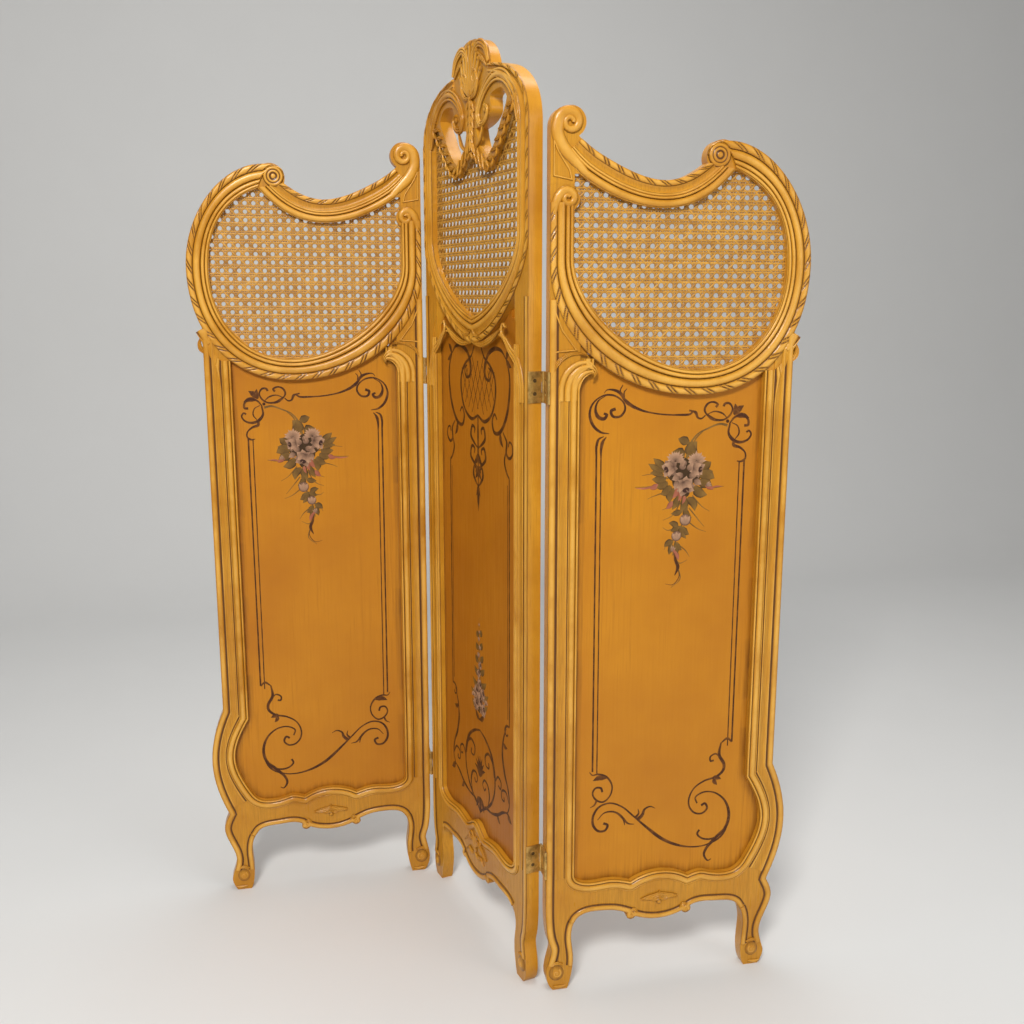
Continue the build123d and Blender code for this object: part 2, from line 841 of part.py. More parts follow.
def assembly():
    """Every node at its place, with the pins' plan points, before the origin is set."""
    nodes = {}
    centre_place = Rot(Z=-fold_angle)
    right_pin = (centre_width - pin_centre[0], board_depth - pin_centre[1])
    left_hub = turn_plan(pin_centre, -fold_angle)
    right_hub = turn_plan(right_pin, -fold_angle)
    left_shift = Pos(left_hub[0] - pin_centre[0], left_hub[1] - pin_centre[1])
    right_shift = Pos(right_hub[0] - right_pin[0], right_hub[1] - right_pin[1])
    half_turn = Pos(centre_width, board_depth) * Rot(Z=180)

    for name, piece in centre_leaf().items():
        nodes["centre_" + name] = moved(piece, centre_place)
    leaf = side_leaf()
    for name, piece in leaf.items():
        mirrored = [mirror(item, about=Plane.YZ) for item in piece] if isinstance(piece, list) else mirror(
            piece, about=Plane.YZ
        )
        nodes["left_" + name] = moved(mirrored, left_shift * Pos(-leaf_gap))
        nodes["right_" + name] = moved(piece, right_shift * Pos(centre_width + leaf_gap))

    screws = {"centre": [], "left": [], "right": []}
    for level, z in (("lower", hinge_low_z), ("upper", hinge_high_z)):
        centre_plate, link, side_plate, hinge_pins, centre_screws, side_screws = hinge_at(z)
        for side, shift, turn in (("left", left_shift, Pos(0)), ("right", right_shift, half_turn)):
            label = side + "_" + level + "_hinge_"
            nodes[label + "centre_plate"] = moved(centre_plate, centre_place * turn)
            nodes[label + "link_plate"] = moved(link, shift * turn)
            nodes[label + "leaf_plate"] = moved(side_plate, shift * turn)
            nodes[label + "pins"] = moved(hinge_pins, shift * turn)
            screws["centre"] += moved(centre_screws, centre_place * turn)
            screws[side] += moved(side_screws, shift * turn)
    for side, group in screws.items():
        nodes[side + "_hinge_screws"] = group

    left_far = (left_hub[0] + pin_side[0] - pin_centre[0], left_hub[1] + pin_side[1] - pin_centre[1])
    right_far = (right_hub[0] - pin_side[0] + pin_centre[0], right_hub[1] - pin_side[1] + pin_centre[1])
    pins = {
        "left_front_pin": left_hub,
        "left_back_pin": left_far,
        "right_back_pin": right_hub,
        "right_front_pin": right_far,
    }
    return nodes, pins


def solids_of(piece):
    """The solids of a piece or of a list of loose pieces."""
    if isinstance(piece, list):
        return [solid for item in piece for solid in item.solids()]
    return list(piece.solids())


def placed_nodes():
    """Every node as one compound, with the origin under the middle of the whole screen."""
    nodes, pins = assembly()
    compounds = {name: Compound(children=solids_of(piece)) for name, piece in nodes.items()}
    boxes = [compound.bounding_box() for compound in compounds.values()]
    low_x = min(box.min.X for box in boxes)
    high_x = max(box.max.X for box in boxes)
    low_y = min(box.min.Y for box in boxes)
    high_y = max(box.max.Y for box in boxes)
    middle = ((low_x + high_x) / 2, (low_y + high_y) / 2)
    shift = Pos(-middle[0], -middle[1])
    centred_pins = {name: (x - middle[0], y - middle[1]) for name, (x, y) in pins.items()}
    return {name: shift * compound for name, compound in compounds.items()}, centred_pins, middle


def main():
    """Write one file per node and print the places that the record needs."""
    os.makedirs("parts", exist_ok=True)
    nodes, pins, middle = placed_nodes()
    for name, compound in nodes.items():
        export_step(compound, "parts/" + name + ".step")
    for name, (x, y) in pins.items():
        print(name, round(x, 4), round(y, 4))
    print("plan origin of the centre leaf", round(-middle[0], 4), round(-middle[1], 4))


main()
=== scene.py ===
"""Looks of a three-leaf folding screen: carved honey-gold frames, woven cane and painted panels.

Every length is in millimetres on the face of a leaf until a mesh is made. u runs along the leaf from its
hinge edge, z is the height above the floor and y is the depth, 0 on the front of the boards and growing
backwards. The tone and shading value is 1 in a dark hollow, painted dark as glazing and as painted shade,
and below 0 on a crest, painted paler as worn finish and as a painted highlight.
"""

import sys
import json
import logging
import math
import random
from dataclasses import dataclass
from enum import Enum

import bmesh
import bpy
import numpy as np
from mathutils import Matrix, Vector


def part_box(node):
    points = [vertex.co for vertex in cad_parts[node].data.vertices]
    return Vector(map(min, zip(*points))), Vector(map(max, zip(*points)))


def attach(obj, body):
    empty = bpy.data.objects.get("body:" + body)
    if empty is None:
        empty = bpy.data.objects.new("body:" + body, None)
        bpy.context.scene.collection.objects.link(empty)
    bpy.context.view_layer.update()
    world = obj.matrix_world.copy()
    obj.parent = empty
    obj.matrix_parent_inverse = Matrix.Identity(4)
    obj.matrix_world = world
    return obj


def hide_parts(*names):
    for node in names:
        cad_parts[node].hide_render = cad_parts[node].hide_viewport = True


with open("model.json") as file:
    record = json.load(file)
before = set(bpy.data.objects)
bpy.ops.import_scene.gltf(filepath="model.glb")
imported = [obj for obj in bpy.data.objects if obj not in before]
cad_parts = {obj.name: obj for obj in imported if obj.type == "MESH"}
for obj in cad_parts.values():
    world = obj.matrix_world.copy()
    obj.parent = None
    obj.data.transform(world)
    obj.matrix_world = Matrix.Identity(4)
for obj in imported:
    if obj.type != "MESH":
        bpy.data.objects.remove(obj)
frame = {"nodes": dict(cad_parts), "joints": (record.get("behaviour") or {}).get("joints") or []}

log = logging.getLogger("screen")

MM = 0.001
CENTRE_WIDTH = 508.0
# How deep the relief's ground lies, on the crown and on the stiles and rails.
FLOOR = 2.6
LOW_FLOOR = 2.2
# How deep a carved member's edges reach, so that they end inside the board.
REACH = FLOOR + 0.6
STILE_REACH = 3.0
ORNAMENT_REACH = 2.8
MOULDING_REACH = 3.9
# The stiles' width, the panel moulding's width and the line of the reeds beside a stile's edge.
STILE_WIDTH = 44
LIP = 20
REED_LINE = 17.5
# A twisted ribbon: the length of a twist, and its two notches as shares of it.
TWIST = 34.0
NOTCHES = (0.40, 0.66)
NOTCH_WIDTH = 0.055
NOTCH_SLANT = 0.55
NOTCH_DEPTH = 2.1
# Paint: the depth of the panel's face, how full a brush line is and how much each lies over the last.
PANEL_FACE = 12.93
BRUSH_FULLNESS = 0.88
COAT_STEP = 0.004
# The centre leaf's turn in degrees, and where its corner lies from the left hinge's front pin.
FOLD_ANGLE = 76.42
PIN_OFFSET = (-1.75, -2.8)


class Side(Enum):
    """The three leaves of the screen."""

    LEFT = "left"
    CENTRE = "centre"
    RIGHT = "right"


class Slot(Enum):
    """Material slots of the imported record."""

    WOOD = "frame_wood"
    PANEL = "painted_panel"
    CANE = "cane"


class Path:
    """A line on the face of a leaf, as points (u, z)."""

    def __init__(self, points):
        self.points = np.asarray(points, float)

    @classmethod
    def bow(cls, start, first, second, end, steps=24):
        """One smooth curve with a handle at each end.

        Args:
            start, first, second, end: its two ends and the handles between them.
            steps: how many spans it is drawn with.

        Returns:
            The path.
        """
        t = np.linspace(0, 1, steps + 1)[:, None]
        a, b, c, d = (np.asarray(p, float) for p in (start, first, second, end))
        return cls((1 - t) ** 3 * a + 3 * (1 - t) ** 2 * t * b + 3 * (1 - t) * t * t * c + t**3 * d)

    @classmethod
    def quarter(cls, start, end, fullness, upright_first):
        """A quarter turn between an upright and a level direction."""
        du = (end[0] - start[0]) * fullness
        dz = (end[1] - start[1]) * fullness
        if upright_first:
            return cls.bow(start, (start[0], start[1] + dz), (end[0] - du, end[1]), end)
        return cls.bow(start, (start[0] + du, start[1]), (end[0], end[1] - dz), end)

    @classmethod
    def through(cls, *points, steps=10):
        """A smooth line through given points."""
        p = np.asarray(points, float)
        p = np.vstack([2 * p[0] - p[1], p, 2 * p[-1] - p[-2]])
        knots = np.concatenate([[0], np.cumsum(np.sqrt(np.linalg.norm(np.diff(p, axis=0), axis=1)) + 1e-6)])
        rows = []
        for i in range(1, len(p) - 2):
            k0, k1, k2, k3 = knots[i - 1 : i + 3]
            t = np.linspace(k1, k2, steps + 1)[:-1, None]
            a1 = (k1 - t) / (k1 - k0) * p[i - 1] + (t - k0) / (k1 - k0) * p[i]
            a2 = (k2 - t) / (k2 - k1) * p[i] + (t - k1) / (k2 - k1) * p[i + 1]
            a3 = (k3 - t) / (k3 - k2) * p[i + 1] + (t - k2) / (k3 - k2) * p[i + 2]
            b1 = (k2 - t) / (k2 - k0) * a1 + (t - k0) / (k2 - k0) * a2
            b2 = (k3 - t) / (k3 - k1) * a2 + (t - k1) / (k3 - k1) * a3
            rows.append((k2 - t) / (k2 - k1) * b1 + (t - k1) / (k2 - k1) * b2)
        return cls(np.vstack([*rows, p[-2]]))

    @classmethod
    def of(cls, line):
        """A path as it is, or the smooth one through a tuple of points."""
        return line if isinstance(line, Path) else cls.through(*line)

    @classmethod
    def line(cls, *points):
        """Straight spans."""
        return cls(points)

    @classmethod
    def spiral(cls, centre, radius, inner, start, turns, steps=26):
        """A scroll that winds in from radius to inner.

        Args:
            centre: its middle (u, z).
            radius, inner: its first and last radius.
            start: the angle in degrees that it starts at.
            turns: how often it goes round, positive anticlockwise.
            steps: points in each turn.

        Returns:
            The path.
        """
        t = np.linspace(0, 1, int(abs(turns) * steps) + 2)
        angle = math.radians(start) + t * turns * 2 * math.pi
        r = radius + (inner - radius) * t**0.85
        return cls(np.stack([centre[0] + r * np.cos(angle), centre[1] + r * np.sin(angle)], 1))

    def __add__(self, other):
        """This path and another joined end to end."""
        gap = np.linalg.norm(self.points[-1] - other.points[0])
        return Path(np.vstack([self.points, other.points[1 if gap < 0.5 else 0 :]]))

    @property
    def lengths(self):
        """Distance along the path at each point."""
        return np.concatenate([[0], np.cumsum(np.linalg.norm(np.diff(self.points, axis=0), axis=1))])

    @property
    def length(self):
        """Full length of the path."""
        return float(self.lengths[-1])

    def back(self):
        """The same path run the other way."""
        return Path(self.points[::-1])

    def mirrored(self, width):
        """The path on the other half of a symmetrical leaf, run the same way up."""
        return Path(np.stack([width - self.points[:, 0], self.points[:, 1]], 1))

    def even(self, count):
        """The path as that many evenly spaced points."""
        at = np.linspace(0, self.length, count)
        s = self.lengths
        return Path(np.stack([np.interp(at, s, self.points[:, i]) for i in (0, 1)], 1))

    def normals(self):
        """Unit normals to the left of the way the path runs, longer at a corner so that it stays sharp."""
        d = np.diff(self.points, axis=0)
        d /= np.maximum(np.linalg.norm(d, axis=1), 1e-9)[:, None]
        n = np.stack([-d[:, 1], d[:, 0]], 1)
        first = np.vstack([n[:1], n])
        second = np.vstack([n, n[-1:]])
        mean = first + second
        mean /= np.maximum(np.linalg.norm(mean, axis=1), 1e-6)[:, None]
        stretch = np.clip((mean * first).sum(1), 0.55, 1)
        return mean / stretch[:, None]

    def offset(self, distance):
        """The path moved sideways, to the left for a positive distance or a list of distances along it."""
        far = distance
        if not np.isscalar(distance):
            far = np.interp(self.lengths / self.length, np.linspace(0, 1, len(distance)), distance)[:, None]
        return Path(self.points + self.normals() * far)


@dataclass(frozen=True)
class Member:
    """One member of a moulding.

    Attributes:
        width: its width.
        edge, middle: its depth at its edges and in its middle.
        edge_glaze_and_shading, middle_glaze_and_shading: its tone there, above 0 painted dark as glazing and
        painted shade, below 0 painted pale as worn finish and a painted highlight.
        spans: how many spans it is drawn with.
        ribbon: whether it is notched like a twisted ribbon.
    """

    width: float
    edge: float
    middle: float
    edge_glaze_and_shading: float
    middle_glaze_and_shading: float
    spans: int = 6
    ribbon: bool = False


def bead(width, middle, edge=0.9, ribbon=False):
    """A rounded member that stands up, painted darker at its edges as glazing and painted shade and paler on
    its crest as a painted highlight.
    """
    return Member(width, edge, middle, 0.45, -0.24, 8, ribbon)


def cove(width, middle, edge=-0.6):
    """A hollow member, painted a little darker in its middle as glazing and painted shade."""
    return Member(width, edge, middle, -0.12, 0.16, 7)


def groove(width, depth=FLOOR - 0.2):
    """A narrow cut, painted dark as glazing and painted shade."""
    return Member(width, 1.0, depth, 0.45, 0.85, 4)


class Profile:
    """A moulding's cross-section, as members side by side."""

    def __init__(self, *members):
        self.members = members
        self.width = sum(m.width for m in members)
        across, depth, tone_and_shading, ribbon = [], [], [], []
        start = 0.0
        for m in members:
            t = np.linspace(0, 1, m.spans + 1)
            hump = np.sin(np.pi * t) ** (0.62 if m.middle < m.edge else 0.9)
            across.append((start + t * m.width) / self.width)
            depth.append(m.edge + (m.middle - m.edge) * hump)
            tone_and_shading.append(m.edge_glaze_and_shading + (m.middle_glaze_and_shading - m.edge_glaze_and_shading) * np.sin(np.pi * t) ** 0.5)
            ribbon.append(t if m.ribbon else np.full(len(t), -1.0))
            start += m.width
        self.across = np.concatenate(across)
        self.depth = np.concatenate(depth)
        self.tone_and_shading = np.concatenate(tone_and_shading)
        self.ribbon = np.concatenate(ribbon)


@dataclass
class Place:
    """Where a leaf stands: its front hinge corner, and the directions of its length and depth in plan."""

    body: str
    corner: tuple
    along: tuple
    depth: tuple

    @property
    def mirrored(self):
        """Whether the leaf is the mirror image of the way it is drawn."""
        return self.along[0] * self.depth[1] - self.along[1] * self.depth[0] < 0

    def world(self, points):
        """Leaf points (u, y, z) in millimetres as row-frame points in metres."""
        p = np.asarray(points, float)
        x = self.corner[0] + p[:, 0] * self.along[0] + p[:, 1] * self.depth[0]
        y = self.corner[1] + p[:, 0] * self.along[1] + p[:, 1] * self.depth[1]
        return np.stack([x, y, p[:, 2]], 1) * MM

    def leaf(self, points):
        """Row-frame points in metres as leaf points (u, y, z) in millimetres."""
        p = np.asarray(points, float) / MM
        x = p[:, 0] - self.corner[0]
        y = p[:, 1] - self.corner[1]
        u = x * self.along[0] + y * self.along[1]
        v = x * self.depth[0] + y * self.depth[1]
        return np.stack([u, v, p[:, 2]], 1)

    def node(self, name):
        """A CAD node's vertices in leaf millimetres and its faces."""
        mesh = frame["nodes"][name].data
        points = np.array([v.co for v in mesh.vertices], float)
        faces = [tuple(p.vertices) for p in mesh.polygons]
        return self.leaf(points), faces


def places():
    """The places of the three leaves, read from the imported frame.

    Returns:
        A dict from Side to Place.
    """
    low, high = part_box("left_hinge_stile")
    left = Place("left_leaf", (high.x / MM, low.y / MM), (-1.0, 0.0), (0.0, 1.0))
    low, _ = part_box("right_hinge_stile")
    right = Place("right_leaf", (low.x / MM, low.y / MM), (1.0, 0.0), (0.0, 1.0))
    turn = math.radians(-FOLD_ANGLE)
    along = (math.cos(turn), math.sin(turn))
    depth = (-math.sin(turn), math.cos(turn))
    pin = next(j for j in frame["joints"] if j["name"] == "left_front_pin")["pos_m"]
    corner = tuple(pin[i] / MM - PIN_OFFSET[0] * along[i] - PIN_OFFSET[1] * depth[i] for i in (0, 1))
    return {Side.LEFT: left, Side.RIGHT: right, Side.CENTRE: Place("centre_leaf", corner, along, depth)}


class Carving:
    """A mesh in the making, with its tone and shading: glazing and painted shade in its hollows, painted
    highlights on its crests.

    Attributes:
        reach: how deep the edges and ends of its members reach, unless a call says otherwise.
    """

    def __init__(self, reach=REACH):
        self.reach = reach
        self.points = []
        self.faces = []
        self.tone_and_shading = []
        self.count = 0

    def grid(self, points, tone_and_shading):
        """Adds a sheet of quads.

        Args:
            points: an array rows by columns by 3 of leaf points.
            tone_and_shading: an array rows by columns, 1 in a dark hollow of glazing and painted shade and
                below 0 on a crest that is worn and painted as a highlight.
        """
        rows, columns = tone_and_shading.shape
        index = np.arange(rows * columns).reshape(rows, columns) + self.count
        quads = np.stack([index[:-1, :-1], index[:-1, 1:], index[1:, 1:], index[1:, :-1]], -1).reshape(-1, 4)
        self.points.append(points.reshape(-1, 3))
        self.tone_and_shading.append(tone_and_shading.reshape(-1))
        self.faces += [tuple(q) for q in quads.tolist()]
        self.count += rows * columns

    def solid(self, points, faces, tone_and_shading):
        """Adds loose faces with one tone and shading value or a list of them."""
        self.points.append(np.asarray(points, float))
        self.tone_and_shading.append(np.broadcast_to(tone_and_shading, (len(points),)).astype(float))
        self.faces += [tuple(i + self.count for i in f) for f in faces]
        self.count += len(points)

    def loft(self, first, second, profile, lift=(0.0, 0.0), scale=(1.0, 1.0), floor=None):
        """Adds a moulding between two lines with the same number of points.

        Args:
            first, second: arrays of (u, z), point for point.
            profile: the Profile from the first line to the second.
            lift: depth added along the moulding, at even shares of its length.
            scale: how full its relief is along it, likewise.
            floor: how deep its edges and ends reach.
        """
        floor = self.reach if floor is None else floor
        middle = Path((first + second) / 2)
        s = middle.lengths
        share = s / max(s[-1], 1e-6)
        rise = np.interp(share, np.linspace(0, 1, len(lift)), lift)[:, None]
        full = np.interp(share, np.linspace(0, 1, len(scale)), scale)[:, None]
        t = profile.across[None, :, None]
        flat = first[:, None, :] * (1 - t) + second[:, None, :] * t
        depth = profile.depth[None, :] * full + rise
        tone_and_shading = np.repeat(profile.tone_and_shading[None, :], len(s), 0)
        on = profile.ribbon >= 0
        if on.any():
            slant = s[:, None] / TWIST + (profile.ribbon[None, :] - 0.5) * NOTCH_SLANT
            turn = np.mod(slant, 1.0)
            inside = np.sin(np.pi * np.clip(profile.ribbon, 0, 1)) ** 0.7
            notch = sum(np.exp(-(((turn - at) / NOTCH_WIDTH) ** 2)) for at in NOTCHES) * inside
            between = (turn > NOTCHES[0]) & (turn < NOTCHES[1])
            depth = depth + on * ((NOTCH_DEPTH * notch + 0.5 * between * inside) * full)
            # The notches are painted dark, as glazing and as painted shade in the cuts.
            tone_and_shading = tone_and_shading + on * 1.5 * notch
        sheet = np.stack([flat[:, :, 0], np.minimum(depth, floor), flat[:, :, 1]], -1)
        wall = sheet[:, [0, -1]].copy()
        wall[:, :, 1] = floor
        sheet = np.concatenate([wall[:, :1], sheet, wall[:, 1:]], 1)
        tone_and_shading = np.concatenate([tone_and_shading[:, :1], tone_and_shading, tone_and_shading[:, -1:]], 1)
        ends = sheet[[0, -1]].copy()
        ends[:, :, 1] = floor
        sheet = np.concatenate([ends[:1], sheet, ends[1:]], 0)
        tone_and_shading = np.concatenate([tone_and_shading[:1], tone_and_shading, tone_and_shading[-1:]], 0)
        self.grid(sheet, tone_and_shading)

    def between(self, sections, profile, step=2.4, **options):
        """Adds a moulding between two lines given as matching stretches, each a pair of paths."""
        firsts, seconds = [], []
        for number, (a, b) in enumerate(sections):
            count = max(3, int(max(a.length, b.length) / step) + 1)
            skip = 0 if number == 0 else 1
            firsts.append(a.even(count).points[skip:])
            seconds.append(b.even(count).points[skip:])
        self.loft(np.vstack(firsts), np.vstack(seconds), profile, **options)

    def along(self, path, profile, side=1, start=0.0, step=2.4, **options):
        """Adds a moulding beside a path, from a distance start, on its left for side 1 and right for -1."""
        even = path.even(max(3, int(path.length / step) + 1))
        first = even.offset(side * start).points
        second = even.offset(side * (start + profile.width)).points
        self.loft(first, second, profile, **options)

    def edging(self, path, profile, keep, side=1, step=2.2, **options):
        """Adds a moulding beside the stretches of a path where keep(u, z) holds, mitred as one."""
        even = path.even(max(3, int(path.length / step) + 1))
        second = even.offset(side * profile.width).points
        held = np.array([keep(*p) for p in even.points])
        starts = np.flatnonzero(held & ~np.concatenate([[False], held[:-1]]))
        stops = np.flatnonzero(held & ~np.concatenate([held[1:], [False]])) + 1
        for a, b in zip(starts, stops):
            if b - a > 2:
                self.loft(even.points[a:b], second[a:b], profile, **options)

    def band(self, path, widths, profile, step=2.0, **options):
        """Adds a moulding centred on a path, with widths at even shares of its length."""
        path = Path.of(path)
        even = path.even(max(5, int(path.length / step) + 1))
        half = np.asarray(widths, float) / 2
        self.loft(even.offset(half).points, even.offset(-half).points, profile, **options)

    @staticmethod
    def oval(centre, radius, share, sides, squash=1.0, turn=0.0):
        """Rings of an oval, sides by the shares of its radius, as arrays u and z."""
        angle = np.linspace(0, 2 * math.pi, sides + 1)
        a = np.cos(angle)[:, None] * share * radius
        b = np.sin(angle)[:, None] * share * radius * squash
        c, s = math.cos(math.radians(turn)), math.sin(math.radians(turn))
        return centre[0] + a * c - b * s, centre[1] + a * s + b * c

    def dome(self, centre, radius, depths, glaze_and_shading=None, sides=28, squash=1.0):
        """Adds a round boss turned from depths at even shares of its radius, rim first, or an oval one."""
        depths = np.asarray(depths, float)
        u, z = self.oval(centre, radius, np.linspace(1, 0, len(depths)), sides, squash)
        sheet = np.stack([u, np.broadcast_to(depths, u.shape), z], -1)
        skirt = sheet[:, :1].copy()
        skirt[:, :, 1] = self.reach
        sheet = np.concatenate([skirt, sheet], 1)
        # Unless tones are given, the rim is painted darker as glazing and painted shade and the top paler as
        # a painted highlight.
        tones = np.linspace(0.5, -0.2, len(depths)) if glaze_and_shading is None else np.asarray(glaze_and_shading, float)
        tones = np.concatenate([[tones[0]], tones])
        self.grid(sheet[::-1], np.broadcast_to(tones, sheet.shape[:2]).copy())

    def plate(self, corners, depth, margin, floor):
        """Adds a raised field with a rounded edge inside convex corners."""
        ring = Path(np.vstack([corners, corners[:1]])).even(48).points
        middle = ring[:-1].mean(0)
        depths = [floor, depth + 1.2, depth + 0.3, depth, depth]
        shares = [1.0, 1.0, 1 - margin * 0.5, 1 - margin, 0.0]
        # The rim is painted darker, as glazing and painted shade in the crease.
        tones = [0.9, 0.8, 0.2, 0.05, 0.0]
        sheet = np.stack(
            [
                np.stack([middle[0] + (ring[:, 0] - middle[0]) * k, np.full(len(ring), d),
                          middle[1] + (ring[:, 1] - middle[1]) * k], -1)
                for d, k in zip(depths, shares)
            ],
            1,
        )
        self.grid(sheet, np.broadcast_to(tones, sheet.shape[:2]).copy())

    def board(self, place, node, floor=FLOOR):
        """Adds a CAD node with its front cut back to the floor of the relief."""
        points, faces = place.node(node)
        front = points[:, 1] < floor - 1e-3
        points[:, 1] = np.maximum(points[:, 1], floor)
        # The relief's ground is painted a little darker, as glazing and painted shade between the members.
        self.solid(points, faces, np.where(front, 0.12, 0.0))

    def build(self, name, place, material, slot, replaced=(), smooth=38.0):
        """Makes the mesh, sets it on its leaf and hides the CAD nodes that it stands for.

        Args:
            name: the piece's name.
            place: the Place of its leaf.
            material: its bpy material.
            slot: not used.
            replaced: CAD nodes that it stands for.
            smooth: the angle in degrees under which faces join smoothly.

        Returns:
            The object.
        """
        points = place.world(np.vstack(self.points))
        faces = [f[::-1] for f in self.faces] if place.mirrored else self.faces
        mesh = bpy.data.meshes.new(name)
        mesh.from_pydata(points.tolist(), [], faces)
        layer = mesh.attributes.new("tone_and_shading", "FLOAT", "POINT")
        layer.data.foreach_set("value", np.concatenate(self.tone_and_shading).astype(np.float32))
        tidy = bmesh.new()
        tidy.from_mesh(mesh)
        bmesh.ops.remove_doubles(tidy, verts=tidy.verts, dist=2e-6)
        bmesh.ops.dissolve_degenerate(tidy, edges=tidy.edges, dist=1e-6)
        bmesh.ops.recalc_face_normals(tidy, faces=tidy.faces)
        tidy.to_mesh(mesh)
        tidy.free()
        for face in mesh.polygons:
            face.use_smooth = True
        mesh.set_sharp_from_angle(angle=math.radians(smooth))
        mesh.materials.append(material)
        made = bpy.data.objects.new(name, mesh)
        bpy.context.scene.collection.objects.link(made)
        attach(made, place.body)
        if replaced:
            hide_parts(*replaced)
        log.info("%s: %d faces", name, len(mesh.polygons))
        return made


def rim(place, node, start, end, by):
    """The edge of a CAD node's front, from the corner nearest start to the one nearest end.

    Args:
        place: the Place of the leaf.
        node: the CAD node's name.
        start, end, by: points (u, z); the way round that passes nearest to by is taken.

    Returns:
        The path.
    """
    points, faces = place.node(node)
    keys = {}
    index = [keys.setdefault(tuple(np.round(p, 2)), len(keys)) for p in points]
    spots = np.array(list(keys))
    front = spots[:, 1].min() + 0.05
    uses = {}
    for face in faces:
        if all(points[i][1] < front for i in face):
            for a, b in zip(face, face[1:] + face[:1]):
                key = frozenset((index[a], index[b]))
                uses[key] = uses.get(key, 0) + 1
    links = {}
    for key, number in uses.items():
        if number == 1 and len(key) == 2:
            a, b = key
            links.setdefault(a, []).append(b)
            links.setdefault(b, []).append(a)
    border = np.array(list(links))
    plan = spots[:, [0, 2]]
    first, last = (border[np.linalg.norm(plan[border] - p, axis=1).argmin()] for p in (start, end))
    best = None
    for step in links[first]:
        walk = [first, step]
        while walk[-1] != last and len(walk) < len(links) + 2:
            onward = [n for n in links[walk[-1]] if n != walk[-2]]
            if not onward or onward[0] == first:
                break
            walk.append(onward[0])
        if walk[-1] == last:
            line = plan[walk]
            near = np.linalg.norm(Path(line).even(200).points - by, axis=1).min()
            if best is None or near < best[0]:
                best = (near, line)
    if best is None:
        raise ValueError(f"{node} has no front edge from {start} to {end}")
    return Path(best[1])


def trimmed(path, keep):
    """The points of a path for which keep(u, z) holds."""
    dense = path.even(int(path.length / 2) + 4)
    return Path(np.array([p for p in dense.points if keep(*p)]))


RING = Profile(bead(12.5, -2.2, 0.2, ribbon=True), groove(1.2, 1.8), bead(14.5, -2.2, 1.0), groove(1.4),
               bead(7.5, -1.9, 0.8), groove(0.7, 1.4), bead(6.0, -1.5, 0.8), bead(1.5, 1.0, 2.0))
RAIL = Profile(bead(10.5, -2.2, 0.2, ribbon=True), groove(0.9, 1.6), cove(11.5, 1.6, -1.0),
               bead(5, -1.7, 0.5), bead(5, -1.9, 0.5), groove(1.2, 1.8), bead(12, -2.0, 0.8),
               bead(1.5, 1.4, 2.2))
MOULDING = Profile(bead(5, -0.9, 2.2), groove(0.8, 1.4), bead(12.2, -2.2, 0.6), bead(2, -0.2, 1.2))
STILE_EDGE = Profile(bead(13, -1.0, 0.4), groove(4.5, 1.3))
OUTER_EDGE = Profile(bead(12, -1.5, 0.6), groove(4, 1.3))
STILE_COVE = Profile(groove(2.0, 1.3), cove(14, 1.1, -0.7), bead(2.5, -0.6, 0.6))
APRON_EDGE = Profile(bead(10.5, -1.6, 0.8), groove(3.5, 1.3))
LEAF = Profile(bead(1.6, -0.5, 0.7), cove(3, 0.2, -0.6), bead(2, -1.0, 0.1), cove(3, 0.2, -0.6),
               bead(1.6, -0.5, 0.7))
ROLL = Profile(bead(10, -1.0, 1.2))
VOLUTE = Profile(bead(20, -1.6, 2.4))
TRIM = Profile(bead(3, -0.6, 0.9))
REEDS = Profile(bead(4, -0.9, 0.9), bead(5, -1.4, 0.6), bead(4, -0.9, 0.9))


def scrolled_toe(work, centre, radius, way):
    """Carves a scrolled toe: a low boss with its spiral, and a collar over it.

    Args:
        work: the Carving.
        centre: the middle (u, z) of the boss.
        radius: the boss's radius.
        way: 1 where the spiral starts on the right, -1 on the left.
    """
    work.dome(centre, radius, (1.4, -0.4, -1.3, -1.7, -1.8), squash=1.1)
    scroll = Path.spiral(centre, radius * 0.62, 2, 60 if way > 0 else 120, -1.3 * way)
    work.band(scroll, (6, 5, 3.5, 2), ROLL, lift=(-1.2, -1.4, -1.4))
    u, z = centre
    collar = Path.through((u - 13, z + 18), (u, z + 22), (u + 13, z + 18))
    work.band(collar, (3, 7, 3), LEAF, lift=(-0.3, -0.8, -0.3))


